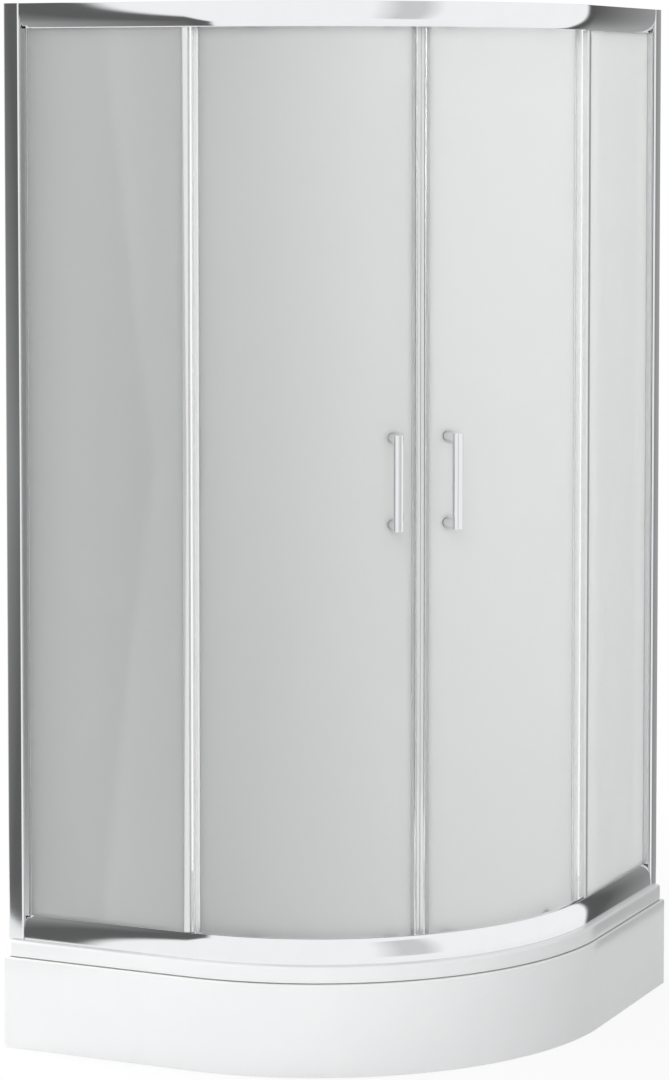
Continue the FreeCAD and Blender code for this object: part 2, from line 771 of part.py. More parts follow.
def glazing_seal():
    """A thin channel round three edges of the panel, in the jamb's pocket and the rails' slots."""
    n0, n1 = FIXED_N - GASKET, FIXED_N + GLASS + GASKET
    edge = FIXED_EDGE_RISE - 2 * GASKET
    frame = leg_box(FIXED_START_U - 2 * GASKET + SLIP, LEG - FIXED_END, n0, n1, RIM_Z + edge, HEIGHT - edge)
    shows = RAIL_RISE + GASKET_SHOWS
    window = leg_box(JAMB_U[1] + GASKET_SHOWS, LEG, n0 - 1, n1 + 1, RIM_Z + shows, HEIGHT - shows)
    return frame.cut(window).cut(fixed_glass())


def fixed_edge_seal():
    """A channel on the panel's free edge, with a fin towards the door behind it."""
    rise = RAIL_RISE + GASKET_SHOWS + LOOSE
    z0, z1 = RIM_Z + rise, HEIGHT - rise
    end = LEG - EDGE_SEAL_END
    n0, n1 = FIXED_N - EDGE_SEAL_WALL, FIXED_N + GLASS + EDGE_SEAL_WALL
    shell = leg_box(end - EDGE_SEAL_WIDE, end, n0, n1, z0, z1)
    fin = leg_box(LEG - FIXED_END - FIN_THICK, LEG - FIXED_END, n1 - FIN_ROOT, n1 + FIN_REACH, z0, z1)
    return union([shell, fin]).cut(fixed_glass())


# ---------------------------------------------------------------- doors

WHEEL_TRACK = RADIUS - (WHEEL_N[0] + WHEEL_N[1]) / 2
DOOR_R = RADIUS - DOOR_N
WHEEL_RISE = LEDGE_RISE - LOOSE - WHEEL_R


def door_motion():
    """The left door's pivot and swing, about the arc's centre: both wheels end on the track.

    The front wheel goes round the arc by the travel angle, the rear wheel ends on the straight,
    and the one turn that does both gives the pivot.
    """
    def on_arc(angle):
        a = math.radians(angle)
        return complex(WHEEL_TRACK * math.cos(a), WHEEL_TRACK * math.sin(a))

    front0, rear0 = on_arc(FRONT_WHEEL_ANGLE), on_arc(REAR_WHEEL_ANGLE)
    front1 = on_arc(FRONT_WHEEL_ANGLE - DOOR_TRAVEL)
    apart = abs(front0 - rear0)
    drop = front1.imag + WHEEL_TRACK
    rear1 = complex(front1.real - math.sqrt(apart ** 2 - drop ** 2), -WHEEL_TRACK)
    turn = (front1 - rear1) / (front0 - rear0)
    pivot = (front1 - turn * front0) / (1 - turn)
    swing = -math.degrees(math.atan2(turn.imag, turn.real))
    return pivot, swing, rear1


def inside_n(reach):
    """Where a flat piece lies on the inside of the curved glass, by how far it spreads."""
    return DOOR_N + GLASS + bow(DOOR_R - GLASS, reach) + SLIP


def door_heights():
    return RIM_Z + DOOR_EDGE_RISE, HEIGHT - DOOR_EDGE_RISE


def handle_angle():
    return -45 - math.degrees(HANDLE_OFF / DOOR_R)


def handle_posts():
    reach = HANDLE_LONG / 2 - POST_R
    return (HANDLE_Z - reach, HANDLE_Z + reach)


def wheel_places():
    """Angle, height function and the two words of the name of each wheel of the left door."""
    bottom, top = rail_heights()
    places = []
    for end, height in (("top", top), ("bottom", bottom)):
        for side, angle in (("front", FRONT_WHEEL_ANGLE), ("rear", REAR_WHEEL_ANGLE)):
            places.append((end + "_" + side, angle, height))
    return places


def door_glass():
    z0, z1 = door_heights()
    rear = -90 + math.degrees(DOOR_REAR / DOOR_R)
    front = -45 - math.degrees(DOOR_FRONT / DOOR_R)
    glass = along_arc(DOOR_N, DOOR_N + GLASS, z0, z1, rear, front)
    n0, n1 = DOOR_N - 2, DOOR_N + GLASS + 2
    for z in handle_posts():
        glass = glass.cut(polar(pin(HANDLE_HOLE_R, n0, n1, 0, z), handle_angle()))
    for _, angle, height in wheel_places():
        glass = glass.cut(polar(pin(BOLT_HOLE_R, n0, n1, 0, height(BOLT_RISE)), angle))
    return glass


def door_seal_heights():
    z0, z1 = door_heights()
    return z0 + SEAL_TRIM, z1 - SEAL_TRIM


def rear_seal():
    """A channel on the door's rear edge, hooked towards the fixed panel's seal."""
    z0, z1 = door_seal_heights()
    start = LEG - REAR_SEAL_END
    end = start + REAR_SEAL_WIDE
    back = inside_n(end - LEG)
    shell = leg_box(start, end, DOOR_N - SEAL_WALL, back + SEAL_WALL, z0, z1)
    slot = leg_box(LEG + DOOR_REAR - SLIP, end + 1, DOOR_N - SLIP, back, z0 - 1, z1 + 1)
    hook = leg_box(start, start + HOOK_THICK, HOOK_N, DOOR_N, z0, z1)
    return union([shell.cut(slot), hook])


def front_seal_span():
    return DOOR_N - SEAL_WALL, inside_n(FRONT_SEAL_FAR) + SEAL_WALL


def front_seal():
    """A channel on the door's front edge that carries the box for the magnet."""
    z0, z1 = door_seal_heights()
    n0, n1 = front_seal_span()
    back = inside_n(FRONT_SEAL_FAR)
    grip = polar_box(n0, n1, -FRONT_SEAL_FAR, -MAGNET_BOX, z0, z1)
    slot = polar_box(DOOR_N - SLIP, back, -FRONT_SEAL_FAR - 1, -DOOR_FRONT + LOOSE, z0 - 1, z1 + 1)
    head = polar_box(n0, n1, -MAGNET_BOX, -FRONT_SEAL_GAP, z0, z1)
    upright = [e for e in head.Edges if e.BoundBox.ZLength > 1]
    meeting = [e for e in upright if abs(e.BoundBox.YMin + FRONT_SEAL_GAP) < 0.01]
    head = head.makeFillet(FRONT_SEAL_ROUND, meeting)
    w = MAGNET_BOX_WALL
    hollow = polar_box(n0 + w, n1 - w, -MAGNET_BOX + w, -FRONT_SEAL_GAP - w, z0 - 1, z1 + 1)
    return polar(union([grip.cut(slot), head]).cut(hollow), -45)


def magnet_strip():
    z0, z1 = door_seal_heights()
    n0, n1 = front_seal_span()
    gap = MAGNET_BOX_WALL + LOOSE
    strip = polar_box(n0 + gap, n1 - gap, -MAGNET_BOX + gap, -FRONT_SEAL_GAP - gap,
                      z0 + MAGNET_TRIM, z1 - MAGNET_TRIM)
    return polar(strip, -45)


def handle():
    """A rounded bar on two posts, one piece."""
    centre = RADIUS - DOOR_N + HANDLE_STAND
    w, d, r = BAR_WIDE / 2, BAR_DEEP / 2, BAR_ROUND
    low, high = HANDLE_Z - HANDLE_LONG / 2, HANDLE_Z + HANDLE_LONG / 2
    bar = box(centre - d, centre + d, -w, w, low, high)
    bar = bar.makeFillet(r, [e for e in bar.Edges if e.BoundBox.ZLength > HANDLE_LONG / 2])
    bar = bar.makeFillet(BAR_END_ROUND, edges_at(bar, low) + edges_at(bar, high))
    foot_n = DOOR_N - HANDLE_GASKET
    solid = bar
    for z in handle_posts():
        solid = solid.fuse(pin(POST_R, DOOR_N - HANDLE_STAND, foot_n, 0, z))
    for z in handle_posts():
        solid = solid.cut(pin(HANDLE_BOLT_R + SLIP, foot_n - HANDLE_BORE_DEEP, foot_n + 1, 0, z))
    return polar(solid.removeSplitter(), handle_angle())


KNOB_N = inside_n(INNER_GASKET_R)


def handle_gaskets():
    """Washers under the posts and under the knobs inside."""
    rings = []
    for z in handle_posts():
        outer = pin(POST_R + SLIP, DOOR_N - HANDLE_GASKET, DOOR_N, 0, z)
        inner = pin(INNER_GASKET_R, KNOB_N, KNOB_N + INNER_GASKET, 0, z)
        hole = pin(HANDLE_BOLT_R + SLIP, DOOR_N - HANDLE_STAND, KNOB_N + HANDLE_KNOB, 0, z)
        rings += [polar(ring.cut(hole), handle_angle()) for ring in (outer, inner)]
    return rings


def handle_screws():
    """Round knobs on the inside of the door whose screws run out into the posts."""
    screws = []
    base = KNOB_N + INNER_GASKET
    for z in handle_posts():
        knob = pin(HANDLE_KNOB_R, base, base + HANDLE_KNOB, 0, z)
        rim = [e for e in knob.Edges if abs(e.BoundBox.XMax - (RADIUS - base - HANDLE_KNOB)) < 0.01]
        knob = knob.makeFillet(HANDLE_KNOB_ROUND, rim)
        shaft = pin(HANDLE_BOLT_R, DOOR_N - HANDLE_GASKET - HANDLE_BOLT_BITE, base + 1, 0, z)
        screws.append(polar(union([knob, shaft]), handle_angle()))
    return screws


# ---------------------------------------------------------------- rollers

PLATE_N = inside_n(PLATE_HALF)


def roller_bracket(angle, height):
    """A plate on the inside of the glass, with the axle that reaches out over the rail's ledge."""
    z_axle, z_bolt = height(WHEEL_RISE), height(BOLT_RISE)
    z0, z1 = min(z_axle, z_bolt) - PLATE_MARGIN, max(z_axle, z_bolt) + PLATE_MARGIN
    plate = polar_box(PLATE_N, PLATE_N + PLATE_THICK, -PLATE_HALF, PLATE_HALF, z0, z1)
    corners = [e for e in plate.Edges if e.BoundBox.YLength < 0.1 and e.BoundBox.ZLength < 0.1]
    plate = plate.makeFillet(PLATE_CORNER, corners)
    head_n = WHEEL_N[0] - WHEEL_PLAY
    shoulder = pin(AXLE_HEAD_R, WHEEL_N[1] + WHEEL_PLAY, PLATE_N + 1, 0, z_axle)
    axle = pin(AXLE_R, head_n - AXLE_HEAD, PLATE_N + 1, 0, z_axle)
    head = pin(AXLE_HEAD_R, head_n - AXLE_HEAD, head_n, 0, z_axle)
    hole = pin(BOLT_R + SLIP, PLATE_N - 1, PLATE_N + PLATE_THICK + 1, 0, z_bolt)
    return polar(union([plate, shoulder, axle, head]).cut(hole), angle)


def roller_bolt(angle, height):
    """The bolt through the glass, with its head inside and its cap outside."""
    z = height(BOLT_RISE)
    head_n = PLATE_N + PLATE_THICK
    head = pin(BOLT_HEAD_R, head_n, head_n + BOLT_HEAD, 0, z)
    cap_n = DOOR_N - SLIP
    shaft = pin(BOLT_R, cap_n - BOLT_CAP, head_n + 1, 0, z)
    cap = pin(BOLT_CAP_R, cap_n - BOLT_CAP, cap_n, 0, z)
    return polar(union([head, shaft, cap]), angle)


def wheel(angle, height):
    z = height(WHEEL_RISE)
    disc = pin(WHEEL_R, WHEEL_N[0], WHEEL_N[1], 0, z)
    disc = disc.makeFillet(WHEEL_ROUND, [e for e in disc.Edges if e.BoundBox.XLength < 0.01])
    return polar(disc.cut(pin(AXLE_R + SLIP, WHEEL_N[0] - 1, WHEEL_N[1] + 1, 0, z)), angle)


def door_stops():
    """Blocks on the ledges that the rear wheels reach when a door is open."""
    _, _, rear = door_motion()
    end = LEG + rear.real - WHEEL_R - STOP_GAP
    stops = []
    for height in rail_heights():
        z0, z1 = z_span(height, LEDGE_RISE - STOP_TALL, LEDGE_RISE)
        stops.append(leg_box(end - STOP_LONG, end, STOP_N[0], STOP_N[1], z0, z1))
    return both(stops)


# ---------------------------------------------------------------- all the nodes


def nodes():
    bottom, top = rail_heights()
    found = {
        "tray_shell": tray_shell(),
        "base_board": base_board(),
        "leg_bars": leg_bars(),
        "foot_studs": foot_studs(),
        "foot_nuts": foot_nuts(),
        "foot_pads": foot_pads(),
        "apron": apron(),
        "apron_clips": apron_clips(),
        "waste_body": waste_body(),
        "waste_outlet": waste_outlet(),
        "waste_outlet_nut": waste_outlet_nut(),
        "waste_gasket": waste_gasket(),
        "waste_flange": waste_flange(),
        "waste_cup": waste_cup(),
        "waste_cover": waste_cover(),
        "jamb_screws": jamb_screws(),
        "jamb_screw_caps": jamb_screw_caps(),
        "top_rail": rail(top),
        "bottom_rail": rail(bottom),
        "rail_connectors": rail_connectors(),
        "rail_screws": rail_screws(),
        "door_stops": door_stops(),
    }
    sided = {
        "wall_profile": [wall_profile()],
        "jamb_profile": [jamb_profile()],
        "fixed_glass": [fixed_glass()],
        "glazing_seal": [glazing_seal()],
        "fixed_edge_seal": [fixed_edge_seal()],
        "door_glass": [door_glass()],
        "magnetic_seal": [front_seal()],
        "magnet_strip": [magnet_strip()],
        "rear_seal": [rear_seal()],
        "handle": [handle()],
        "handle_gaskets": handle_gaskets(),
        "handle_screws": handle_screws(),
        "roller_brackets": [roller_bracket(angle, height) for _, angle, height in wheel_places()],
        "roller_bolts": [roller_bolt(angle, height) for _, angle, height in wheel_places()],
    }
    for words, angle, height in wheel_places():
        sided[words + "_wheel"] = [wheel(angle, height)]
    for name, shapes in sided.items():
        found[name + "_left"] = shapes
        found[name + "_right"] = [mirrored(s) for s in shapes]
    return found


def main():
    os.makedirs("parts", exist_ok=True)
    for name, shapes in nodes().items():
        shapes = shapes if isinstance(shapes, list) else [shapes]
        solids = [solid for shape in shapes for solid in shape.Solids]
        whole = solids[0] if len(solids) == 1 else Part.makeCompound(solids)
        whole.exportStep("parts/" + name + ".step")
        print(name, len(solids), "valid" if whole.isValid() else "NOT VALID", round(whole.Volume))
    pivot, swing, rear = door_motion()
    x, y = ARC_X + pivot.real, ARC_Y + pivot.imag
    print("left door pivot x %.4f y %.4f, swing %.4f degrees" % (x, y, swing))


main()
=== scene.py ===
import json
import bpy
import numpy as np
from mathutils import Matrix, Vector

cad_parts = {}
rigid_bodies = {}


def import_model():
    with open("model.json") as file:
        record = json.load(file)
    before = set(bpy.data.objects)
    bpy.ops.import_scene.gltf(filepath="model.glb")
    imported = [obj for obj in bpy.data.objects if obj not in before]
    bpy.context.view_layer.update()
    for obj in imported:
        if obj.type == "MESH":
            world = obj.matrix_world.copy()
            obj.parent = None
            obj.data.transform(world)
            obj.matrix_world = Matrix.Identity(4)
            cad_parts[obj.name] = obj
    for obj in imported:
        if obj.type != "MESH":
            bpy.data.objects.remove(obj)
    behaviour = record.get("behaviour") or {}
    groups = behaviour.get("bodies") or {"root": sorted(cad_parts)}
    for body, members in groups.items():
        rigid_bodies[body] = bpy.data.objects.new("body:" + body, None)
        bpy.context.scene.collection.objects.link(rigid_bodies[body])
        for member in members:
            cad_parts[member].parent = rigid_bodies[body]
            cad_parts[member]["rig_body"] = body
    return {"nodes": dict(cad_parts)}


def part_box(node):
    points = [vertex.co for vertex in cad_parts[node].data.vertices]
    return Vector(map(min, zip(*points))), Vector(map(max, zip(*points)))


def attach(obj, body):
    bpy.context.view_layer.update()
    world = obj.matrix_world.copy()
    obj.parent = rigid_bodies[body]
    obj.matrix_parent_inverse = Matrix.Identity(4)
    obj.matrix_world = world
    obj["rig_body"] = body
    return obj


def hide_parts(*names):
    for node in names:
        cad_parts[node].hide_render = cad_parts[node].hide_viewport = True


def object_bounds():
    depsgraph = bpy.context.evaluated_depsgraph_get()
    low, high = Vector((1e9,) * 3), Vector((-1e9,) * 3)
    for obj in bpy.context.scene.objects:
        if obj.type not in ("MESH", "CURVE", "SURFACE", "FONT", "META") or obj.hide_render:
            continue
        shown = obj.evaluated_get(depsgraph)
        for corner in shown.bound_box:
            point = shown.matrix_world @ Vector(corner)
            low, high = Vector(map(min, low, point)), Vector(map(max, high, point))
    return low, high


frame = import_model()
cad_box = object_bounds()

# ---------------------------------------------------------------- tray
# A quadrant tray, vacuum formed from one sheet of white gloss acrylic and backed with resin and
# glass fibre. Its rolled rim stands over the apron, the ledge behind the rim carries the
# enclosure, and the basin falls to a flat floor with a hole for the waste.
# Sizes are millimetres. "inside" is how far a place lies behind the front outline, square to it,
# and "along" runs with the outline: a straight leg from each wall and a quarter circle between.

MM = 0.001
HALF = round(cad_box[1].x / MM, 2)
TOP_Z = round(cad_box[1].z / MM, 2)
TRAY_TOP = round(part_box("tray_shell")[1].z / MM, 2)
TRAY_LOW = round(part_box("tray_shell")[0].z / MM, 2)
BEND = 550.0
LEG = 2 * HALF - BEND
BEND_X, BEND_Y = HALF - BEND, BEND - HALF

TRAY_SHEET = 4.0
RIM_INSIDE = 5.0
RIM_DROP = 27.0
RIM_ROUND = 5.0
RIM_CORNER = 12.0
LEDGE_EDGE = 58.0
LEDGE_EDGE_AT_WALL = 50.0
LEDGE_ROUND = 4.0
BASIN_SLOPE = 22.0
BASIN_FLAT = 20.0
BASIN_CORNER = 60.0
BASIN_ROUND = 12.0
FLOOR_SHEET = 5.0
FLOOR_Z = TRAY_LOW + FLOOR_SHEET
WASTE_X, WASTE_Y = ((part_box("waste_cover")[0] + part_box("waste_cover")[1]) / (2 * MM))[:2]
WASTE_HOLE = 45.0
CREASE = 35.0


def rounded(corners, closed=True, steps=6):
    """Joins corners (a, b, radius) by straight lines; a corner with a radius is an arc that
    touches both its lines: its centre is radius / sin(half the corner's angle) from the corner."""
    places = np.array([corner[:2] for corner in corners], float)
    found = []
    for k, (a, b, radius) in enumerate(corners):
        if radius == 0 or not closed and k in (0, len(corners) - 1):
            found.append([(a, b)])
            continue
        back = places[k - 1] - places[k]
        ahead = places[(k + 1) % len(places)] - places[k]
        back, ahead = back / np.linalg.norm(back), ahead / np.linalg.norm(ahead)
        half = np.arccos(np.clip(back @ ahead, -1, 1)) / 2
        middle = back + ahead
        centre = places[k] + middle / np.linalg.norm(middle) * radius / np.sin(half)
        first, last = (places[k] + way * radius / np.tan(half) - centre for way in (back, ahead))
        start, end = (np.arctan2(way[1], way[0]) for way in (first, last))
        sweep = (end - start + np.pi) % (2 * np.pi) - np.pi
        turn = start + sweep * np.linspace(0, 1, steps + 1)
        found.append(centre + radius * np.stack([np.cos(turn), np.sin(turn)], -1))
    return np.concatenate(found)


def skin(points, ring=False):
    """A closed skin over rows of points, each row going once round a section: quads join the
    rows, and flat caps close the first and last unless the rows go round in a ring themselves.
    The faces are turned outwards by the sign of the volume inside, the sum over triangles of
    a . (b x c) / 6."""
    rows, columns = points.shape[:2]
    row = np.arange(rows if ring else rows - 1)[:, None]
    column = np.arange(columns)[None, :]
    above, beside = (row + 1) % rows, (column + 1) % columns
    quads = np.stack([row * columns + column, row * columns + beside,
                      above * columns + beside, above * columns + column], -1).reshape(-1, 4)
    corners = points.reshape(-1, 3)
    caps = [] if ring else [np.arange(columns)[::-1], np.arange(columns) + (rows - 1) * columns]
    a, b, c, d = (corners[quads[:, k]] for k in range(4))
    volume = np.sum(a * np.cross(b, c)) + np.sum(a * np.cross(c, d))
    for cap in caps:
        rim = corners[cap]
        volume += np.sum(rim[0] * np.cross(rim[1:-1], rim[2:]))
    faces = quads.tolist() + [cap.tolist() for cap in caps]
    if volume < 0:
        faces = [face[::-1] for face in faces]
    return corners, faces


def piece(name, skins, node, finish):
    """One object made of closed skins, which stands for a CAD node and rides on its body. Its
    edges are shaded sharp where the faces turn by more than the crease, in degrees."""
    corners, faces, count = [], [], 0
    for points, sides in skins:
        corners.append(points)
        faces += [[count + k for k in side] for side in sides]
        count += len(points)
    mesh = bpy.data.meshes.new(name)
    mesh.from_pydata((np.concatenate(corners) * MM).tolist(), [], faces)
    mesh.materials.append(finish)
    mesh.shade_smooth()
    mesh.set_sharp_from_angle(angle=np.radians(CREASE))
    made = bpy.data.objects.new(name, mesh)
    bpy.context.scene.collection.objects.link(made)
    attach(made, frame["nodes"][node]["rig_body"])
    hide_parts(node)
    return made


class Wire:
    """What comes out of a shader node; arithmetic on it, from either side, adds Math nodes."""

    def __init__(self, nodes, socket):
        self.nodes = nodes
        self.socket = socket

    def maths(self, operation, *values):
        return self.nodes.add("Math", {"operation": operation}, dict(enumerate(values)))

    def __add__(self, other):
        return self.maths("ADD", self, other)

    def __radd__(self, other):
        return self.maths("ADD", other, self)

    def __sub__(self, other):
        return self.maths("SUBTRACT", self, other)

    def __rsub__(self, other):
        return self.maths("SUBTRACT", other, self)

    def __mul__(self, other):
        return self.maths("MULTIPLY", self, other)

    def __rmul__(self, other):
        return self.maths("MULTIPLY", other, self)

    def either(self, other):
        """The greater of the two."""
        return self.maths("MAXIMUM", self, other)

    def size(self):
        """The value without its sign."""
        return self.maths("ABSOLUTE", self)


class Nodes:
    """Builds up one tree of shader nodes."""

    def __init__(self, tree):
        self.tree = tree
        tree.nodes.clear()

    def add(self, kind, settings=None, inputs=None, output=0):
        """Adds a node of a kind: its settings first, then the value or wire of each socket."""
        node = self.tree.nodes.new("ShaderNode" + kind)
        for name, value in (settings or {}).items():
            if name == "stops":
                ramp = node.color_ramp.elements
                for place, colour in value[2:]:
                    ramp.new(place)
                for element, (place, colour) in zip(ramp, value):
                    element.position = place
                    element.color = (*colour, 1)
            else:
                setattr(node, name, value)
        for name, value in (inputs or {}).items():
            if isinstance(value, Wire):
                self.tree.links.new(value.socket, node.inputs[name])
            else:
                node.inputs[name].default_value = value
        return Wire(self, node.outputs[output]) if node.outputs else None

    def noise(self, size, stretch=(1, 1, 1), detail=3.0):
        """Noise about size millimetres across on the piece's own coordinates, from 0 to 1."""
        place = self.add("TexCoord", output="Object")
        scale = [1 / part for part in stretch]
        place = self.add("Mapping", {}, {"Vector": place, "Scale": scale})
        return self.add("TexNoise", {},
                        {"Vector": place, "Scale": 1 / (size * MM), "Detail": detail})

    def blend(self, share, first, second):
        """Goes from the first colour to the second."""
        return self.add("Mix", {"data_type": "RGBA"},
                        {0: share, 6: (*first, 1), 7: (*second, 1)}, 2)

    def bump(self, height, strength, deep):
        """Tilts the shading as a relief that is so many millimetres deep would."""
        return self.add("Bump", {}, {"Height": height, "Strength": strength, "Distance": deep * MM})

    def body(self, **inputs):
        """The main shader; the words of a socket's name are joined by _."""
        return self.add("BsdfPrincipled", {},
                        {name.replace("_", " "): value for name, value in inputs.items()})

    def show(self, shader):
        self.add("OutputMaterial", {}, {"Surface": shader})


def new_finish(name):
    finish = bpy.data.materials.new(name)
    finish.use_nodes = True
    return finish, Nodes(finish.node_tree)


def mottled(name, first, second, size, rough, relief, stretch=(1, 1, 1), metal=0.0):
    """A finish whose colour drifts between two over patches of a size, whose roughness drifts
    between two values over patches a third of that, and whose surface has a relief in mm."""
    finish, nodes = new_finish(name)
    patches = nodes.noise(size, stretch)
    fine = nodes.noise(size / 3, stretch, 4.0)
    nodes.show(nodes.body(
        Base_Color=nodes.blend(patches, first, second),
        Roughness=rough[0] + (rough[1] - rough[0]) * fine,
        Metallic=metal,
        Normal=nodes.bump(fine, 1.0, relief)))
    return finish


def tray_rows(inside, z):
    """For each inside and z a closed outline in plan: the quarter circle of the front and three
    corner arcs, joined by straight stretches. An arc is centre + radius * (cos, sin) of its angle,
    and the front's radius is the bend's less the inside. Near the walls the outline keeps less
    inside than in front, as interpolated between the section's edges."""
    wall_places = (RIM_INSIDE, RIM_INSIDE + RIM_ROUND, LEDGE_EDGE, LEDGE_EDGE + BEND)
    walls = (0, RIM_ROUND, LEDGE_EDGE_AT_WALL, LEDGE_EDGE_AT_WALL + BEND)
    inside, z = np.asarray(inside, float)[:, None], np.asarray(z, float)[:, None]
    wall = np.interp(inside, wall_places, walls)
    corner = np.interp(inside, wall_places[:3], (RIM_CORNER, RIM_CORNER - RIM_ROUND, BASIN_CORNER))
    left, front, right, back = wall - HALF, inside - HALF, HALF - inside, HALF - wall
    arcs = []
    for x, y, radius, start, steps in (
            (BEND_X, BEND_Y, BEND - inside, -90, 72),
            (right - corner, back - corner, corner, 0, 12),
            (left + corner, back - corner, corner, 90, 12),
            (left + corner, front + corner, corner, 180, 12)):
        turn = np.radians(np.linspace(start, start + 90, steps + 1))
        arcs.append(np.stack([x + radius * np.cos(turn), y + radius * np.sin(turn)], -1))
    share = np.linspace(0, 1, 14)[1:-1, None]
    found = []
    for arc, following in zip(arcs, arcs[1:] + arcs[:1]):
        found += [arc, arc[:, -1:] * (1 - share) + following[:, :1] * share]
    plan = np.concatenate(found, 1)
    return np.concatenate([plan, np.broadcast_to(z[..., None], plan.shape[:2] + (1,))], -1)


def to_waste(row, shares):
    """Rows between an outline and the waste's hole: each point goes straight at its centre."""
    middle = np.array([WASTE_X, WASTE_Y])
    away = row[:, :2] - middle
    hole = middle + WASTE_HOLE * away / np.linalg.norm(away, axis=1, keepdims=True)
    share = np.asarray(shares, float)[:, None, None]
    plan = row[None, :, :2] * (1 - share) + hole * share
    return np.concatenate([plan, np.broadcast_to(row[None, :, 2:], plan.shape[:2] + (1,))], -1)


foot = LEDGE_EDGE + BASIN_SLOPE
flat = foot + BASIN_FLAT
slope = BASIN_SLOPE / (TRAY_TOP - FLOOR_Z)
upper = rounded([
    (RIM_INSIDE, TRAY_TOP - RIM_DROP, 0), (RIM_INSIDE, TRAY_TOP, RIM_ROUND),
    (LEDGE_EDGE, TRAY_TOP, LEDGE_ROUND), (foot, FLOOR_Z, BASIN_ROUND), (flat, FLOOR_Z, 0)],
    closed=False)
under_foot = LEDGE_EDGE - TRAY_SHEET + slope * (TRAY_TOP - TRAY_LOW)
under_top = TRAY_TOP - TRAY_SHEET
lower = rounded([
    (flat, TRAY_LOW, 0), (under_foot, TRAY_LOW, BASIN_ROUND + TRAY_SHEET),
    (LEDGE_EDGE - TRAY_SHEET + slope * TRAY_SHEET, under_top, 0),
    (RIM_INSIDE + TRAY_SHEET, under_top, 1), (RIM_INSIDE + TRAY_SHEET, TRAY_TOP - RIM_DROP, 0)],
    closed=False)
upper, lower = tray_rows(*upper.T), tray_rows(*lower.T)
upper = np.concatenate([upper, to_waste(upper[-1], (0.3, 0.6, 0.85, 0.97, 1))])
lower = np.concatenate([to_waste(lower[0], (1, 0.6, 0.3)), lower])

white_acrylic, nodes = new_finish("white_acrylic")
waves = nodes.noise(26, detail=1.0)
wear = nodes.noise(70, detail=4.0)
nodes.show(nodes.body(
    Base_Color=nodes.blend(wear, (0.885, 0.893, 0.9), (0.915, 0.92, 0.925)),
    Roughness=0.1 + 0.08 * wear,
    Coat_Weight=0.3,
    Coat_Roughness=0.05,
    Normal=nodes.bump(waves, 0.25, 0.12)))
resin_back = mottled("resin_back", (0.62, 0.58, 0.46), (0.78, 0.75, 0.66), 30, (0.45, 0.75), 0.6)

tray = piece("shower_tray", [skin(np.concatenate([upper, lower]), ring=True)], "tray_shell",
             white_acrylic)
tray.data.materials.append(resin_back)
row_of_face = np.arange(len(tray.data.polygons)) // upper.shape[1]
tray.data.polygons.foreach_set("material_index", (row_of_face >= len(upper)).astype(np.int32))

# ---------------------------------------------------------------- apron
# The bent front panel under the rim: 4 mm white acrylic with a rounded top edge, turned in to a
# flange that carries a tongue up behind the rim. It hangs 2 mm clear of the floor.

APRON_LOW = 2.0
APRON_TOP = TRAY_TOP - RIM_DROP - 2.0
APRON_THICK = 4.0
APRON_ROUND = 3.0
TONGUE = (RIM_INSIDE + TRAY_SHEET + 2.0, RIM_INSIDE + TRAY_SHEET + 5.0)
TONGUE_TALL = 12.0
LEG_STEP = 4.0


def other_side(points):
    """The right side's copy of left side points: x and y change places with both signs turned."""
    return points[..., [1, 0, 2]] * (-1, -1, 1)


def bend_line(first, last, steps):
    """Points on the bend between two angles, centre + radius * (cos, sin), and the way inwards at
    each, -(cos, sin)."""
    turn = np.radians(np.linspace(first, last, steps + 1))
    out = np.stack([np.cos(turn), np.sin(turn)], -1)
    return np.array([BEND_X, BEND_Y]) + BEND * out, -out


def front_line(start):
    """Points on the whole outline from one wall to the other, and the way inwards at each. The
    straight legs have points close to both of their ends, which keeps them flat in the shading."""
    along = np.array([start, start + LEG_STEP, LEG / 2, LEG - LEG_STEP])
    left = np.stack([along - HALF, np.full(4, -HALF)], -1)
    places, ways = bend_line(-90, 0, 96)
    right = -left[::-1, ::-1]
    inwards = [np.tile([0.0, 1.0], (4, 1)), ways, np.tile([-1.0, 0.0], (4, 1))]
    return np.concatenate([left, places, right]), np.concatenate(inwards)


def carried(section, line):
    """Carries a section of (inside, z) along a line: place = line + way * inside, at height z."""
    places, ways = line
    plan = places[:, None] + ways[:, None] * section[None, :, :1]
    return np.concatenate([plan, np.broadcast_to(section[None, :, 1:], plan.shape[:2] + (1,))], -1)


panel = rounded([
    (0, APRON_LOW, 1), (0, APRON_TOP, APRON_ROUND), (TONGUE[1], APRON_TOP, 0.5),
    (TONGUE[1], APRON_TOP - APRON_THICK, 0.5), (APRON_THICK, APRON_TOP - APRON_THICK, 1.5),
    (APRON_THICK, APRON_LOW, 1)])
tongue = rounded([
    (TONGUE[0], APRON_TOP - 1, 0), (TONGUE[0], APRON_TOP + TONGUE_TALL, 0.8),
    (TONGUE[1], APRON_TOP + TONGUE_TALL, 0.8), (TONGUE[1], APRON_TOP - 1, 0)])
piece("front_apron", [skin(carried(panel, front_line(0.0))),
                      skin(carried(tongue, front_line(RIM_CORNER)))],
      "apron", white_acrylic)

# ---------------------------------------------------------------- legs
# Under the tray: a chipboard panel bonded to it, three square tubes of zinc plated steel, six
# threaded feet with locknuts on round plastic pads, and plated angle clips for the apron.


def finished(finish, *names):
    """Gives a CAD node that stays its finish."""
    for name in names:
        for place in frame["nodes"][name].material_slots:
            place.material = finish


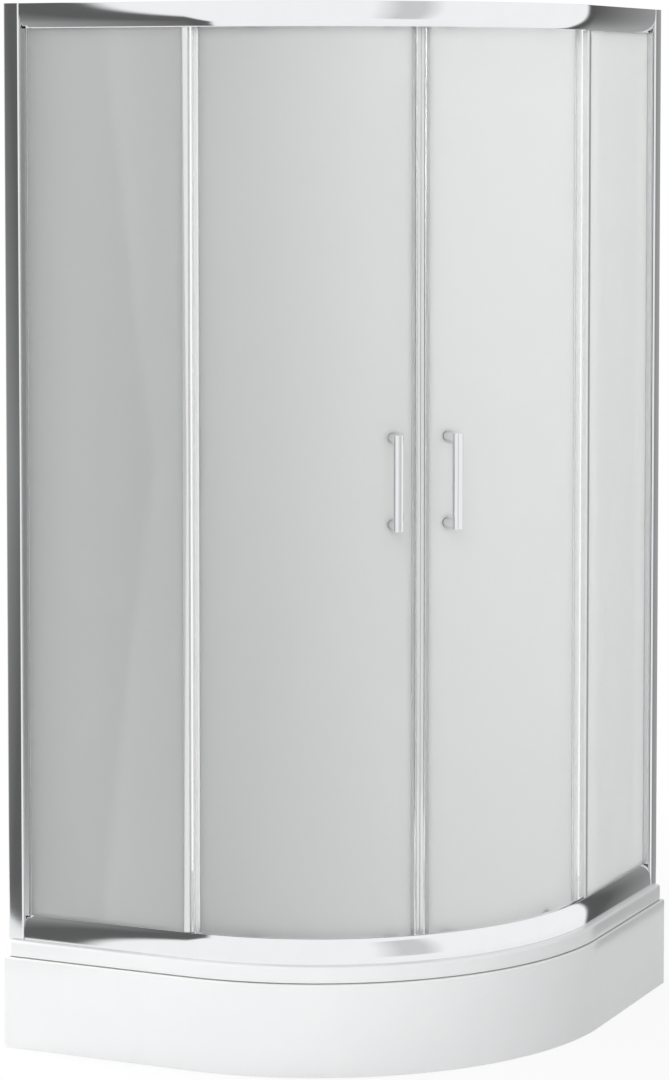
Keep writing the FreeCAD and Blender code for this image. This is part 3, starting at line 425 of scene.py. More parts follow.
finished(mottled("chipboard", (0.42, 0.3, 0.17), (0.68, 0.54, 0.36), 5, (0.7, 0.9), 0.4),
         "base_board")
zinc_steel = mottled("zinc_steel", (0.5, 0.52, 0.54), (0.7, 0.72, 0.74), 14, (0.28, 0.5), 0.03,
                     metal=1.0)
finished(zinc_steel, "leg_bars", "apron_clips", "foot_studs", "foot_nuts")
black_plastic = mottled("black_plastic", (0.028, 0.028, 0.03), (0.05, 0.05, 0.052), 3,
                        (0.4, 0.6), 0.08)
finished(black_plastic, "foot_pads")

# ---------------------------------------------------------------- waste
# A shallow trap: a moulded body clamped under the floor by a chromed ring that screws into it, a
# lift-out cup, and a chromed dome over the hole that lets water in under its edge.

RING_R = 56.0
RING_ROUND = 1.2
RING_TOP = FLOOR_Z + 2.0
NECK_R = 40.95
NECK_WALL = 2.5
NECK_DEEP = 26.0
DOME_R = 57.0
DOME_TOP = round(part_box("waste_cover")[1].z / MM, 2)
DOME_EDGE = 2.5
DOME_CROWN = 5.0
DOME_RIM = 4.0
SPIGOT_R = (33.35, 30.0)
SPIGOT_LOW = round(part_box("waste_cover")[0].z / MM, 2)


def turned(profile, steps=72):
    """Takes each point of a profile, a radius and a distance along the axis, round the axis: it
    goes to (radius * cos, radius * sin, along) of each angle."""
    radius, along = np.asarray(profile, float).T[:, :, None]
    turn = np.linspace(0, 2 * np.pi, steps, endpoint=False)
    return np.stack([radius * np.cos(turn), radius * np.sin(turn), along + 0 * turn], -1)


def mirror_metal(name, first, second, rough):
    """Polished metal or plating: almost a mirror, with a faint drifting haze and faint waves."""
    finish, nodes = new_finish(name)
    haze = nodes.noise(40, detail=4.0)
    nodes.show(nodes.body(
        Base_Color=nodes.blend(haze, first, second),
        Metallic=1.0,
        Roughness=rough[0] + (rough[1] - rough[0]) * haze,
        Normal=nodes.bump(nodes.noise(60, detail=1.0), 0.1, 0.05)))
    return finish


chrome = mirror_metal("chrome", (0.79, 0.8, 0.81), (0.84, 0.85, 0.86), (0.04, 0.09))
at_waste = np.array([WASTE_X, WASTE_Y, 0])
ring = rounded([
    (NECK_R - NECK_WALL, RING_TOP - NECK_DEEP, 0.3), (NECK_R, RING_TOP - NECK_DEEP, 0.3),
    (NECK_R, FLOOR_Z, 0), (RING_R, FLOOR_Z, 0), (RING_R, RING_TOP, RING_ROUND),
    (NECK_R - NECK_WALL, RING_TOP, 0.5)])
piece("waste_ring", [skin(turned(ring) + at_waste, ring=True)], "waste_flange", chrome)

# The crown is part of a ball: its radius is (R^2 + crown^2) / (2 crown) over a dome of radius R.
ball = (DOME_R ** 2 + DOME_CROWN ** 2) / (2 * DOME_CROWN)
reach = np.linspace(DOME_R - 0.6, 1.0, 24)
crown = np.stack([reach, DOME_TOP - ball + np.sqrt(ball ** 2 - reach ** 2)], -1)
under = DOME_TOP - DOME_CROWN - DOME_EDGE
edge = rounded([
    (1.0, under, 0), (DOME_R, under, 0.8), (DOME_R, DOME_TOP - DOME_CROWN, 0.8),
    (DOME_R - DOME_RIM, crown[2, 1], 0)], closed=False)[:-1]
spigot = rounded([(SPIGOT_R[0], under + 1, 0), (SPIGOT_R[0], SPIGOT_LOW, 0.4),
                  (SPIGOT_R[1], SPIGOT_LOW, 0.4), (SPIGOT_R[1], under + 1, 0)])
piece("waste_dome", [skin(turned(np.concatenate([edge, crown[1:]])) + at_waste),
                     skin(turned(spigot) + at_waste, ring=True)],
      "waste_cover", chrome)
drain_plastic = mottled("drain_plastic", (0.76, 0.76, 0.74), (0.85, 0.85, 0.83), 9,
                        (0.35, 0.55), 0.05)
finished(drain_plastic, "waste_body", "waste_outlet", "waste_outlet_nut", "waste_cup")
rubber = mottled("rubber", (0.03, 0.03, 0.03), (0.05, 0.05, 0.05), 2, (0.6, 0.8), 0.05)
finished(rubber, "waste_gasket")

# ---------------------------------------------------------------- wall profiles
# A polished aluminium channel screwed to each wall, its outer flange a little bowed and rounded
# at the end, and a satin box profile that slides in it to take up a wall that isn't plumb. Three
# screws on the inside of each, under chromed caps, lock the pair.

CHANNEL = (16.0, 44.0)
CHANNEL_WIDE = 29.0
CHANNEL_WALL = 2.0
CHANNEL_NOSE = 3.4
CHANNEL_BOW = 0.25
WALL_HOLE = 3.25
WALL_HOLE_INSET = 250.0
CAP_ALONG = 15.0
CAP_R = 6.5
CAP_ROUND = 1.4
CAP_TALL = 5.0
CAP_INSET = 210.0


def on_leg(along, inside, up):
    """Places on the left leg, x = along - half the width and y = inside - half the width; each
    may be an array."""
    along, inside, up = np.broadcast_arrays(along, inside, up)
    return np.stack([along - HALF, inside - HALF, up], -1)


def upright(section, low, high, place):
    """Carries a plan section of (along, inside) straight up between two heights."""
    up = np.array([[low], [high]], float)
    return place(section[None, :, 0], section[None, :, 1], up)


def across(points, place, up, along=0.0):
    """Lays turned points down, so that their axis runs inwards at a height."""
    return place(along + points[..., 0], points[..., 2], up + points[..., 1])


def drilled(made, cutters):
    """Cuts the cutters out of a piece, and keeps the result as its mesh."""
    for cutter in cutters:
        mesh = bpy.data.meshes.new("drill")
        mesh.from_pydata((cutter[0] * MM).tolist(), [], cutter[1])
        drill = bpy.data.objects.new("drill", mesh)
        bpy.context.scene.collection.objects.link(drill)
        cut = made.modifiers.new("hole", "BOOLEAN")
        cut.object = drill
        bpy.context.view_layer.update()
        seen = made.evaluated_get(bpy.context.evaluated_depsgraph_get())
        whole = bpy.data.meshes.new_from_object(seen)
        made.modifiers.clear()
        made.data = whole
        bpy.data.objects.remove(drill)


def face_out(u):
    """The channel's face: it stands back from its middle by the square of the distance."""
    middle = (CHANNEL_WIDE - CHANNEL_NOSE) / 2
    return CHANNEL[0] + CHANNEL_BOW * ((u - middle) / middle) ** 2


face_u = np.linspace(0.6, CHANNEL_WIDE - CHANNEL_NOSE, 14)
face = [(u, face_out(u), 0) for u in face_u]
inner_face = CHANNEL[1] - CHANNEL_WALL
channel = rounded(
    [(0, CHANNEL[0] + 0.6, 0)] + face + [
        (CHANNEL_WIDE, CHANNEL[0] + CHANNEL_BOW, CHANNEL_NOSE - CHANNEL_BOW - 0.3),
        (CHANNEL_WIDE, CHANNEL[0] + CHANNEL_NOSE, 0.2),
        (CHANNEL_WIDE - CHANNEL_NOSE, CHANNEL[0] + CHANNEL_NOSE, 0),
        (CHANNEL_WIDE - CHANNEL_NOSE, CHANNEL[0] + CHANNEL_WALL, 0),
        (CHANNEL_WALL, CHANNEL[0] + CHANNEL_WALL, 0.4), (CHANNEL_WALL, inner_face, 0.4),
        (CHANNEL_WIDE, inner_face, 0.5), (CHANNEL_WIDE, CHANNEL[1], 0.5), (0, CHANNEL[1], 0.5)])
polished = mirror_metal("polished_aluminium", (0.83, 0.84, 0.85), (0.87, 0.88, 0.89), (0.06, 0.12))
satin_aluminium = mottled(
    "satin_aluminium", (0.78, 0.785, 0.79), (0.85, 0.855, 0.86), 1.2, (0.28, 0.42), 0.004,
    stretch=(1, 1, 60), metal=1.0)
middle = sum(CHANNEL) / 2
hole = np.array([(WALL_HOLE, -1.0), (WALL_HOLE, CHANNEL_WALL + 1)])
for side in ("left", "right"):
    flip = other_side if side == "right" else np.asarray
    bar = flip(upright(channel, TRAY_TOP, TOP_Z, on_leg))
    made = piece("wall_channel_" + side, [skin(bar)], "wall_profile_" + side, polished)
    holes = []
    for up in (TRAY_TOP + WALL_HOLE_INSET, TOP_Z - WALL_HOLE_INSET):
        drill = turned(hole, 24)
        holes.append(skin(flip(on_leg(drill[..., 2], middle + drill[..., 0], up + drill[..., 1]))))
    drilled(made, holes)

cap = turned(rounded([(CAP_R, CHANNEL[1], 0), (CAP_R, CHANNEL[1] + CAP_TALL, CAP_ROUND),
                      (1, CHANNEL[1] + CAP_TALL, 0)], closed=False), 40)
caps = []
for up in (TRAY_TOP + CAP_INSET, (TRAY_TOP + TOP_Z) / 2, TOP_Z - CAP_INSET):
    placed = across(cap, on_leg, up, CAP_ALONG)
    caps += [skin(placed), skin(other_side(placed))]
piece("channel_caps", caps, "jamb_screw_caps", chrome)
finished(satin_aluminium, "jamb_profile_left", "jamb_profile_right")
steel = mottled("stainless_steel", (0.62, 0.63, 0.64), (0.74, 0.75, 0.76), 8, (0.22, 0.4), 0.01,
                metal=1.0)
finished(steel, "jamb_screws", "rail_screws")

# ---------------------------------------------------------------- rails
# The top and bottom rails are one aluminium extrusion bent to the outline and bright polished:
# a bowed face, a slot for the fixed panels, and behind it a ledge that the door wheels run on.

RAIL_INSIDE = 16.0
RAIL_TALL = 43.0
RAIL_LIP = 26.6
RAIL_CURL = 0.76
RAIL_START = 31.0
RAIL_WALL = 1.8
SLOT = (28.4, 34.6)
SLOT_DEEP = 14.0
SLOT_WALL = 1.2
RAIL_BACK = 48.0
BACK_LIP = (1.5, 4.0)
LEDGE = (21.0, 23.0)


def rail_face(rise):
    """How far inside the bowed face lies at a rise above its foot. It leans back by a mix of the
    square and the cube of its share of the height, so it starts upright and curls over the top."""
    share = rise / RAIL_TALL
    lean = (1 - RAIL_CURL) * share ** 2 + RAIL_CURL * share ** 3
    return RAIL_INSIDE + (RAIL_LIP - RAIL_INSIDE) * lean


slot_back = SLOT[1] + SLOT_WALL
slot_floor = RAIL_TALL - SLOT_DEEP
rail_section = rounded(
    [(RAIL_INSIDE, 0, 0.3)]
    + [(rail_face(rise), rise, 0) for rise in np.linspace(0, RAIL_TALL, 24)[1:-1]]
    + [(RAIL_LIP, RAIL_TALL, 0.5), (SLOT[0], RAIL_TALL, 0.3), (SLOT[0], slot_floor, 0.3),
       (SLOT[1], slot_floor, 0.3), (SLOT[1], RAIL_TALL, 0.3), (slot_back, RAIL_TALL, 0.3),
       (slot_back, LEDGE[1], 0.3), (RAIL_BACK, LEDGE[1], 0.6), (RAIL_BACK, LEDGE[0], 0.6),
       (slot_back, LEDGE[0], 0.3), (slot_back, RAIL_WALL, 0.3),
       (RAIL_BACK - BACK_LIP[0], RAIL_WALL, 0.3), (RAIL_BACK - BACK_LIP[0], BACK_LIP[1], 0.4),
       (RAIL_BACK, BACK_LIP[1], 0.4), (RAIL_BACK, 0, 0.3)], steps=3)
rail_metal = mirror_metal("rail_metal", (0.84, 0.85, 0.86), (0.88, 0.89, 0.9), (0.05, 0.1))
for name, node, base, way in (("upper_rail", "top_rail", TOP_Z, -1),
                              ("lower_rail", "bottom_rail", TRAY_TOP, 1)):
    section = rail_section * (1, way) + (0, base)
    piece(name, [skin(carried(section, front_line(RAIL_START)))], node, rail_metal)
finished(black_plastic, "rail_connectors")
finished(rubber, "door_stops")

# ---------------------------------------------------------------- fixed panels
# Two flat panes of 5 mm toughened glass, satin etched on the inside and smooth outside. Each
# stands in the jamb's pocket and the rails' slots on a thin clear gasket, and its free edge
# wears a clear channel with a fin towards the door.

GLASS = 5.0
PANE_INSIDE = 29.0
PANE_START = 27.0
PANE_END = LEG - 3.0
PANE_RISE = 30.2
GLASS_ROUND = 0.8
GLASS_THROUGH = 0.75
GLASS_DRIFT = 0.03
SEAL_WIDE = 11.0
SEAL_END = LEG - 1.0
SEAL_WALL = 2.0
SEAL_RISE = RAIL_TALL + 0.7
FIN_THICK = 1.5
FIN_REACH = 3.6


def satin_glass(name, tint):
    """Etched glass: most of the light is scattered on through the pane and the rest is scattered
    back from it, under a clear gloss. The etching has a fine grain, and its tone drifts slowly."""
    finish, nodes = new_finish(name)
    grain = nodes.noise(1.1, detail=2.0)
    drift = nodes.noise(240, detail=1.0)
    darker = [part * (1 - GLASS_DRIFT) for part in tint]
    lighter = [part * (1 + GLASS_DRIFT) for part in tint]
    relief = nodes.bump(grain, 0.35, 0.02)
    front = nodes.body(
        Base_Color=nodes.blend(grain * 0.6 + drift * 0.4, darker, lighter),
        Roughness=0.42 + 0.1 * grain,
        Coat_Weight=1.0,
        Coat_Roughness=0.03,
        Coat_IOR=2.4,
        Normal=relief)
    through = nodes.add("BsdfTranslucent", {}, {"Color": (*tint, 1), "Normal": relief})
    nodes.show(nodes.add("MixShader", {}, {0: GLASS_THROUGH, 1: front, 2: through}))
    return finish


glass = satin_glass("satin_glass", (0.76, 0.768, 0.764))


def soft_plastic(name, clear, gloss):
    """Drawn plastic with faint lines along it, as clear and as glossy as asked."""
    finish, nodes = new_finish(name)
    ribs = nodes.noise(4, (1, 1, 30), 2.0)
    nodes.show(nodes.body(
        Base_Color=nodes.blend(ribs, (0.88, 0.89, 0.89), (0.95, 0.955, 0.955)),
        Roughness=0.1 + 0.12 * ribs,
        Transmission_Weight=clear,
        IOR=1.42,
        Coat_Weight=1.0,
        Coat_Roughness=0.04,
        Coat_IOR=gloss))
    return finish


clear_seal = soft_plastic("clear_seal", 0.3, 3.2)

pane_low, pane_high = TRAY_TOP + PANE_RISE, TOP_Z - PANE_RISE
pane = rounded([(PANE_START, PANE_INSIDE, GLASS_ROUND), (PANE_END, PANE_INSIDE, GLASS_ROUND),
                (PANE_END, PANE_INSIDE + GLASS, GLASS_ROUND),
                (PANE_START, PANE_INSIDE + GLASS, GLASS_ROUND)], steps=3)
seal_front, seal_back = PANE_INSIDE - SEAL_WALL, PANE_INSIDE + GLASS + SEAL_WALL
edge_seal = rounded([
    (SEAL_END - SEAL_WIDE, seal_front, 0.8), (SEAL_END, seal_front, 1), (SEAL_END, seal_back, 1),
    (PANE_END, seal_back, 0.3), (PANE_END, seal_back + FIN_REACH, 0.6),
    (PANE_END - FIN_THICK, seal_back + FIN_REACH, 0.6), (PANE_END - FIN_THICK, seal_back, 0.3),
    (SEAL_END - SEAL_WIDE, seal_back, 0.8), (SEAL_END - SEAL_WIDE, PANE_INSIDE + GLASS, 0.2),
    (PANE_END, PANE_INSIDE + GLASS, 0.2), (PANE_END, PANE_INSIDE, 0.2),
    (SEAL_END - SEAL_WIDE, PANE_INSIDE, 0.2)], steps=4)
for side in ("left", "right"):
    flip = other_side if side == "right" else np.asarray
    piece("fixed_pane_" + side, [skin(flip(upright(pane, pane_low, pane_high, on_leg)))],
          "fixed_glass_" + side, glass)
    strip = flip(upright(edge_seal, TRAY_TOP + SEAL_RISE, TOP_Z - SEAL_RISE, on_leg))
    piece("fixed_pane_seal_" + side, [skin(strip)], "fixed_edge_seal_" + side,
          clear_seal)
finished(clear_seal, "glazing_seal_left", "glazing_seal_right")

# ---------------------------------------------------------------- doors
# Each door is a pane of 5 mm toughened glass bent to the quarter circle, satin etched as the
# fixed panes are. A clear channel on its rear edge hooks towards the fixed pane's fin, and the
# two doors meet in channels that hold a strip of magnet each and grip the glass with clearer lips.

DOOR_INSIDE = 50.0
DOOR_R = BEND - DOOR_INSIDE
DOOR_LOW, DOOR_HIGH = (corner.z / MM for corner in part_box("door_glass_left"))
DOOR_REAR = 4.0
DOOR_FRONT = 10.0
MEETING = -45.0
DOOR_SEAL_WALL = 1.7
SLIP = 0.05
SEAL_TRIM = 0.5
REAR_SEAL = (LEG - 1.0, LEG + 8.0)
HOOK_INSIDE = 41.0
HOOK_THICK = 1.5
GRIP_START = -16.0
MAGNET_START = -6.6
MAGNET_END = -0.5
MAGNET_WALL = 1.1


def by_bend(angle):
    """Places in the plane that touches the bend at an angle: along it, inside it and up. In plan
    that is centre + (radius - inside) * (cos, sin) + along * (-sin, cos)."""
    cos, sin = np.cos(np.radians(angle)), np.sin(np.radians(angle))

    def place(along, inside, up):
        along, inside, up = np.broadcast_arrays(along, inside, up)
        out = BEND - inside
        x, y = BEND_X + out * cos - along * sin, BEND_Y + out * sin + along * cos
        return np.stack([x, y, up], -1)

    return place


def behind_glass(reach):
    """How far inside the doors' glass a flat piece clears, if it spreads that far from its middle:
    the back of the glass is a circle, which stands radius - root(radius^2 - reach^2) behind it."""
    radius = DOOR_R - GLASS
    return DOOR_INSIDE + GLASS + radius - np.sqrt(radius ** 2 - reach ** 2) + SLIP


glass_back = DOOR_INSIDE + GLASS
sheet = rounded([(DOOR_INSIDE, DOOR_LOW, GLASS_ROUND), (glass_back, DOOR_LOW, GLASS_ROUND),
                 (glass_back, DOOR_HIGH, GLASS_ROUND), (DOOR_INSIDE, DOOR_HIGH, GLASS_ROUND)],
                steps=3)
door_line = bend_line(-90 + np.degrees(DOOR_REAR / DOOR_R),
                      MEETING - np.degrees(DOOR_FRONT / DOOR_R), 60)
low, high = DOOR_LOW + SEAL_TRIM, DOOR_HIGH - SEAL_TRIM
seal_out = DOOR_INSIDE - DOOR_SEAL_WALL
rear_back = behind_glass(REAR_SEAL[1] - LEG)
rear_slot = LEG + DOOR_REAR - SLIP
rear_section = rounded([
    (REAR_SEAL[0], HOOK_INSIDE, 0.6), (REAR_SEAL[0] + HOOK_THICK, HOOK_INSIDE, 0.6),
    (REAR_SEAL[0] + HOOK_THICK, seal_out, 0.3), (REAR_SEAL[1], seal_out, 0.7),
    (REAR_SEAL[1], DOOR_INSIDE - SLIP, 0.2), (rear_slot, DOOR_INSIDE - SLIP, 0.2),
    (rear_slot, rear_back, 0.2), (REAR_SEAL[1], rear_back, 0.2),
    (REAR_SEAL[1], rear_back + DOOR_SEAL_WALL, 0.7), (REAR_SEAL[0], rear_back + DOOR_SEAL_WALL, 1)],
    steps=4)
grip_back = behind_glass(-GRIP_START)
seal_in = grip_back + DOOR_SEAL_WALL
grip_slot = 0.3 - DOOR_FRONT
grip_end = MAGNET_START + 0.5
grip_section = rounded([
    (GRIP_START, seal_out, 0.7), (grip_end, seal_out, 0), (grip_end, seal_in, 0),
    (GRIP_START, seal_in, 0.7), (GRIP_START, grip_back, 0.2), (grip_slot, grip_back, 0.2),
    (grip_slot, DOOR_INSIDE - SLIP, 0.2), (GRIP_START, DOOR_INSIDE - SLIP, 0.2)], steps=4)


clear_grip = soft_plastic("clear_grip", 0.92, 1.5)


def magnet_box(wall):
    """The box that holds the magnet, or its hollow when it stands a wall inside."""
    first, last = MAGNET_START + wall, MAGNET_END - wall
    near, far = seal_out + wall, seal_in - wall
    turn = 0.5 if wall == 0 else 0.3
    return rounded([(first, near, 0.2), (last, near, turn), (last, far, turn), (first, far, 0.2)])


for side in ("left", "right"):
    flip = other_side if side == "right" else np.asarray
    piece("door_pane_" + side, [skin(flip(carried(sheet, door_line)))], "door_glass_" + side,
          glass)
    piece("door_rear_seal_" + side, [skin(flip(upright(rear_section, low, high, on_leg)))],
          "rear_seal_" + side, clear_seal)
    shell = upright(magnet_box(0.0), low, high, by_bend(MEETING))
    hollow = upright(magnet_box(MAGNET_WALL), low, high, by_bend(MEETING))
    grip = flip(upright(grip_section, low, high, by_bend(MEETING)))
    wall = flip(np.concatenate([shell, hollow[::-1]]))
    seal = piece("door_meeting_seal_" + side, [skin(wall, ring=True), skin(grip)],
                 "magnetic_seal_" + side, clear_seal)
    seal.data.materials.append(clear_grip)
    face = np.arange(len(seal.data.polygons))
    of_wall = wall.shape[0] * wall.shape[1]
    seal.data.polygons.foreach_set("material_index", (face >= of_wall).astype(np.int32))
magnet = mottled("magnet_strip", (0.16, 0.15, 0.14), (0.24, 0.22, 0.2), 3, (0.5, 0.7), 0.02)
finished(magnet, "magnet_strip_left", "magnet_strip_right")

# ---------------------------------------------------------------- door handles
# A chromed zinc bar on two posts, cast in one, on the outside of each door. Screws with round
# chromed knobs hold it from inside, through rubber washers on both sides of the glass.

HANDLE_OFF = 50.0
HANDLE_Z = 1010.0
HANDLE_LONG = 164.0
HANDLE_MIDDLE = 11.0
BAR_HALF = (9.0, 8.0)
BAR_ROUND = 7.0
BAR_END_ROUND = 1.5
POST_R = 8.0
WASHER = 2.0
INNER_WASHER = 1.0
INNER_WASHER_R = 9.0
SCREW_R = 3.0
SCREW_BITE = 14.0
KNOB_R = 10.0
KNOB = 5.0
KNOB_ROUND = 1.5

handle_angle = MEETING - np.degrees(HANDLE_OFF / DOOR_R)
post_heights = (HANDLE_Z - HANDLE_LONG / 2 + POST_R, HANDLE_Z + HANDLE_LONG / 2 - POST_R)
washer_out = DOOR_INSIDE - WASHER
washer_in = behind_glass(INNER_WASHER_R)
knob_n = washer_in + INNER_WASHER


def bar_row(inset, up):
    """A row round the bar: a rectangle with round corners, less an inset, at a height."""
    wide, thick = BAR_HALF[0] - inset, BAR_HALF[1] - inset
    turn = BAR_ROUND - inset
    section = rounded([(-wide, -thick, turn), (wide, -thick, turn), (wide, thick, turn),
                       (-wide, thick, turn)], steps=10)
    return by_bend(handle_angle)(section[:, 0], HANDLE_MIDDLE + section[:, 1], up)


quarter = np.radians(np.linspace(0, 90, 6))
end_inset = BAR_END_ROUND * (1 - np.sin(quarter))
end_up = HANDLE_LONG / 2 - BAR_END_ROUND * (1 - np.cos(quarter))
rows = [bar_row(inset, HANDLE_Z - up) for inset, up in zip(end_inset, end_up)]
rows += [bar_row(inset, HANDLE_Z + up) for inset, up in zip(end_inset[::-1], end_up[::-1])]
pull_bar = np.stack(rows)
pull_post = turned(rounded([(POST_R, HANDLE_MIDDLE + 2, 0), (POST_R, washer_out, 0.3),
                            (1, washer_out, 0)], closed=False), 48)
outer_washer = turned(rounded([(SCREW_R, washer_out, 0), (POST_R + SLIP, washer_out, 0.3),
                               (POST_R + SLIP, DOOR_INSIDE, 0.3), (SCREW_R, DOOR_INSIDE, 0)]), 48)
inner_washer = turned(rounded([(SCREW_R, washer_in, 0), (INNER_WASHER_R, washer_in, 0.2),
                               (INNER_WASHER_R, knob_n, 0.2), (SCREW_R, knob_n, 0)]), 48)
knob = turned(rounded([
    (SCREW_R, washer_out - SCREW_BITE, 0), (SCREW_R, knob_n, 0), (KNOB_R, knob_n, 0.3),
    (KNOB_R, knob_n + KNOB, KNOB_ROUND), (1, knob_n + KNOB, 0)], closed=False), 48)
for side in ("left", "right"):
    flip = other_side if side == "right" else np.asarray
    posts, washers, knobs = [], [], []
    for up in post_heights:
        placed = [flip(across(part, by_bend(handle_angle), up))
                  for part in (pull_post, outer_washer, inner_washer, knob)]
        posts.append(skin(placed[0]))
        washers += [skin(placed[1], ring=True), skin(placed[2], ring=True)]
        knobs.append(skin(placed[3]))
    piece("door_pull_" + side, [skin(flip(pull_bar))] + posts, "handle_" + side, chrome)
    piece("pull_washers_" + side, washers, "handle_gaskets_" + side, rubber)
    piece("pull_knobs_" + side, knobs, "handle_screws_" + side, chrome)

# ---------------------------------------------------------------- rollers
# Four nylon wheels on each door, two in each rail. Each turns on a stud riveted to a stainless
# plate, which a capped bolt clamps to the inside of the glass.

WHEEL_R = 8.0
WHEEL = (44.0, 48.5)
WHEEL_LOOSE = 0.3
WHEEL_RISE = LEDGE[0] - WHEEL_LOOSE - WHEEL_R
BORE_R = 2.55
DISH = 0.7
DISH_R = (4.0, 6.8)
DISH_SIDE = 0.4
WHEEL_ANGLES = {"front": -51.0, "rear": -78.0}

hub, rim = DISH_R
dish_low, dish_high = hub + DISH_SIDE, rim - DISH_SIDE
wheel_section = rounded([
    (BORE_R, WHEEL[0], 0.2), (hub, WHEEL[0], 0.2), (dish_low, WHEEL[0] + DISH, 0.2),
    (dish_high, WHEEL[0] + DISH, 0.2), (rim, WHEEL[0], 0.2), (WHEEL_R, WHEEL[0], 0.8),
    (WHEEL_R, WHEEL[1], 0.8), (rim, WHEEL[1], 0.2), (dish_high, WHEEL[1] - DISH, 0.2),
    (dish_low, WHEEL[1] - DISH, 0.2), (hub, WHEEL[1], 0.2), (BORE_R, WHEEL[1], 0.2)], steps=3)
nylon = mottled("nylon", (0.82, 0.82, 0.79), (0.9, 0.9, 0.88), 4, (0.3, 0.5), 0.02)
for end, up in (("top", TOP_Z - WHEEL_RISE), ("bottom", TRAY_TOP + WHEEL_RISE)):
    for place, angle in WHEEL_ANGLES.items():
        wheel = across(turned(wheel_section, 48), by_bend(angle), up)
        for side in ("left", "right"):
            flip = other_side if side == "right" else np.asarray
            piece(f"{place}_wheel_{end}_{side}", [skin(flip(wheel), ring=True)],
                  f"{end}_{place}_wheel_{side}", nylon)
finished(steel, "roller_brackets_left", "roller_brackets_right")
finished(chrome, "roller_bolts_left", "roller_bolts_right")

# ---------------------------------------------------------------- room
# A pale floor, white all round, one soft lamp in front, one overhead and one behind the left
# side that shines through the etched glass. Grey screens stand round the object where only
# polished metal and gloss, or the etched glass, see them, as they do in a studio.

FLOOR_HALF = 60.0
SHADOW_FADE = (0.9, 2.2)
SHADOW_SHARE = 0.88
ROOM_LIGHT = 0.34
SCREEN_MIDDLE = 0.95
LAMP_AIM = (0.0, 0.0, 1.0)

floor_mesh = bpy.data.meshes.new("floor")
floor_mesh.from_pydata([(-FLOOR_HALF, -FLOOR_HALF, 0), (FLOOR_HALF, -FLOOR_HALF, 0),
                        (FLOOR_HALF, FLOOR_HALF, 0), (-FLOOR_HALF, FLOOR_HALF, 0)], [],
                       [(0, 1, 2, 3)])
floor = bpy.data.objects.new("floor", floor_mesh)
bpy.context.scene.collection.objects.link(floor)


def seen_directly(nodes):
    """1 for rays from the camera, and for those that a mirror or clear glass passes on."""
    rays = [nodes.add("LightPath", output=name)
            for name in ("Is Camera Ray", "Is Glossy Ray", "Is Transmission Ray")]
    return rays[0].either(rays[1]).either(rays[2])


# The floor is plain white to the eye but for a share of its own shading, which keeps the object's
# shadow and fades out between two distances.
finish, nodes = new_finish("pale_floor")
worn = nodes.noise(400, detail=3.0)
paint = nodes.blend(worn, (0.8, 0.8, 0.8), (0.84, 0.84, 0.84))
matt = nodes.add("BsdfDiffuse", {}, {"Color": paint})
lit = nodes.add("Emission", {}, {"Color": (1, 1, 1, 1), "Strength": 1.0})
place = nodes.add("TexCoord", output="Object")
far = nodes.add("VectorMath", {"operation": "LENGTH"}, {0: place}, 1)
share = nodes.add("MapRange", {}, {
    0: far, 1: SHADOW_FADE[0], 2: SHADOW_FADE[1], 3: SHADOW_SHARE, 4: 1.0})
nodes.show(nodes.add("MixShader", {}, {0: seen_directly(nodes) * share, 1: matt, 2: lit}))
floor_mesh.materials.append(finish)

world = bpy.data.worlds.new("room")
world.use_nodes = True
bpy.context.scene.world = world
nodes = Nodes(world.node_tree)
dim = nodes.add("Background", {}, {"Color": (1, 1, 1, 1), "Strength": ROOM_LIGHT})
white = nodes.add("Background", {}, {"Color": (1, 1, 1, 1), "Strength": 1.0})
shown = nodes.add("MixShader", {}, {0: seen_directly(nodes), 1: dim, 2: white})
nodes.add("OutputWorld", {}, {"Surface": shown})


def screen(name, first, last, tall, stops, slant=0.0, low=(0.01, 0.01), in_metal=True):
    """A grey screen between two plan points, its tone graded from the first to the last. The
    grading comes sooner above and below a middle height, by a slant: a share of the screen's
    length for each metre. Its lower edge goes from one height to another. It's seen in polished
    metal and gloss only, or only through the etched glass."""
    mesh = bpy.data.meshes.new(name)
    (x0, y0), (x1, y1) = first, last
    mesh.from_pydata([(x0, y0, low[0]), (x1, y1, low[1]), (x1, y1, tall), (x0, y0, tall)], [],
                     [(0, 1, 2, 3)])
    made = bpy.data.objects.new(name, mesh)
    bpy.context.scene.collection.objects.link(made)
    finish, nodes = new_finish(name)
    across_x = nodes.add("SeparateXYZ", {}, {0: nodes.add("TexCoord", output="Object")})
    height = Wire(nodes, across_x.socket.node.outputs["Z"])
    share = (across_x - x0) * (1 / (x1 - x0)) + slant * (height - SCREEN_MIDDLE).size()
    tone = nodes.add("ValToRGB", {"stops": [(at, (grey,) * 3) for at, grey in stops]}, {0: share})
    nodes.show(nodes.add("Emission", {}, {"Color": tone, "Strength": 1.0}))
    mesh.materials.append(finish)
    made.visible_camera = made.visible_diffuse = made.visible_shadow = False
    made.visible_glossy, made.visible_transmission = in_metal, not in_metal


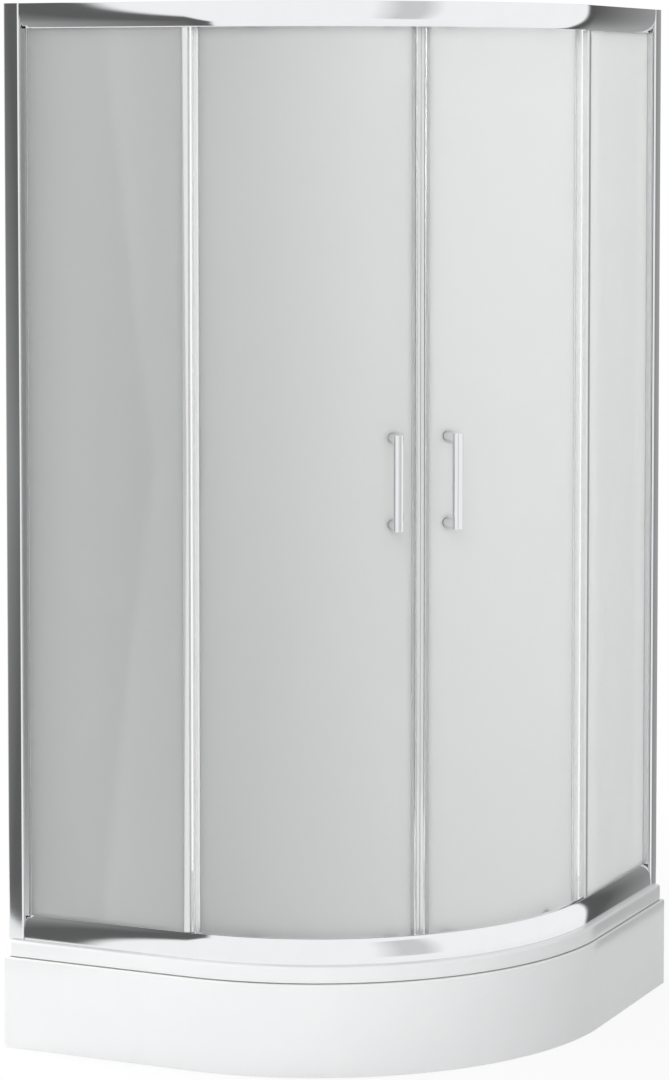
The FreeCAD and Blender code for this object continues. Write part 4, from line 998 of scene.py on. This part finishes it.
screen("left_screen", (-2.6, -1.22), (-0.415, -1.22), 2.4,
       [(0.0, 0.5), (0.6, 0.42), (0.733, 0.3), (0.89, 0.12), (0.975, 0.12), (1.0, 1.0)], 0.136)
screen("right_screen", (0.41, 0.75), (0.79, 0.75), 2.4,
       [(0.0, 0.45), (0.32, 0.37), (0.7, 0.1), (0.874, 0.1), (1.0, 0.8)], low=(0.164, -0.039))
screen("rear_screen", (-2.4, 1.6), (2.8, 1.6), 3.6, [(0.0, 0.3), (0.4, 0.06), (1.0, 0.06)],
       in_metal=False)
screen("side_screen", (1.9, -2.0), (2.6, -0.9), 2.2,
       [(0.0, 1.0), (0.4, 0.66), (0.7, 0.66), (1.0, 1.0)])


def lamp(name, azimuth, elevation, far, wide, power):
    """A square soft lamp that looks at the aim point: azimuth 0 is in front, 90 on the right."""
    made = bpy.data.objects.new(name, bpy.data.lights.new(name, "AREA"))
    made.data.size = wide
    made.data.energy = power
    around, above = np.radians([azimuth, elevation])
    level = np.cos(above)
    way = np.array([np.sin(around) * level, -np.cos(around) * level, np.sin(above)])
    made.location = np.array(LAMP_AIM) + way * far
    made.rotation_euler = (np.pi / 2 - above, 0, around)
    made.visible_glossy = False
    bpy.context.scene.collection.objects.link(made)


lamp("front_lamp", 22, 28, 4.5, 2.4, 108)
lamp("top_lamp", 0, 90, 3.2, 2.6, 22)
lamp("rear_lamp", -87, 18, 4.0, 2.0, 175)

# ---------------------------------------------------------------- camera
# The photograph is taken from the front right at about eye height, looking a little down, with a
# long lens shifted down so that the uprights stay nearly straight.

AZIMUTH, PITCH = 24.653, 3.656
FAR, SIDEWAYS, EYE = 6.223, -0.0207, 1.652
FOCUS_PX, CENTRE_Y, PICTURE_TALL = 3485.0, 323.9, 1080.0
SENSOR = 36.0

camera = bpy.data.objects.new("camera", bpy.data.cameras.new("camera"))
camera.data.sensor_width = SENSOR
camera.data.lens = SENSOR * FOCUS_PX / PICTURE_TALL
camera.data.shift_y = (CENTRE_Y - PICTURE_TALL / 2) / PICTURE_TALL
camera.data.clip_end = 50.0
turn = np.radians(AZIMUTH)
camera.location = (FAR * np.sin(turn) + SIDEWAYS * np.cos(turn),
                   -FAR * np.cos(turn) + SIDEWAYS * np.sin(turn), EYE)
camera.rotation_euler = (np.radians(90 - PITCH), 0, turn)
bpy.context.scene.collection.objects.link(camera)
bpy.context.scene.camera = camera
bpy.context.scene.view_settings.view_transform = "Standard"
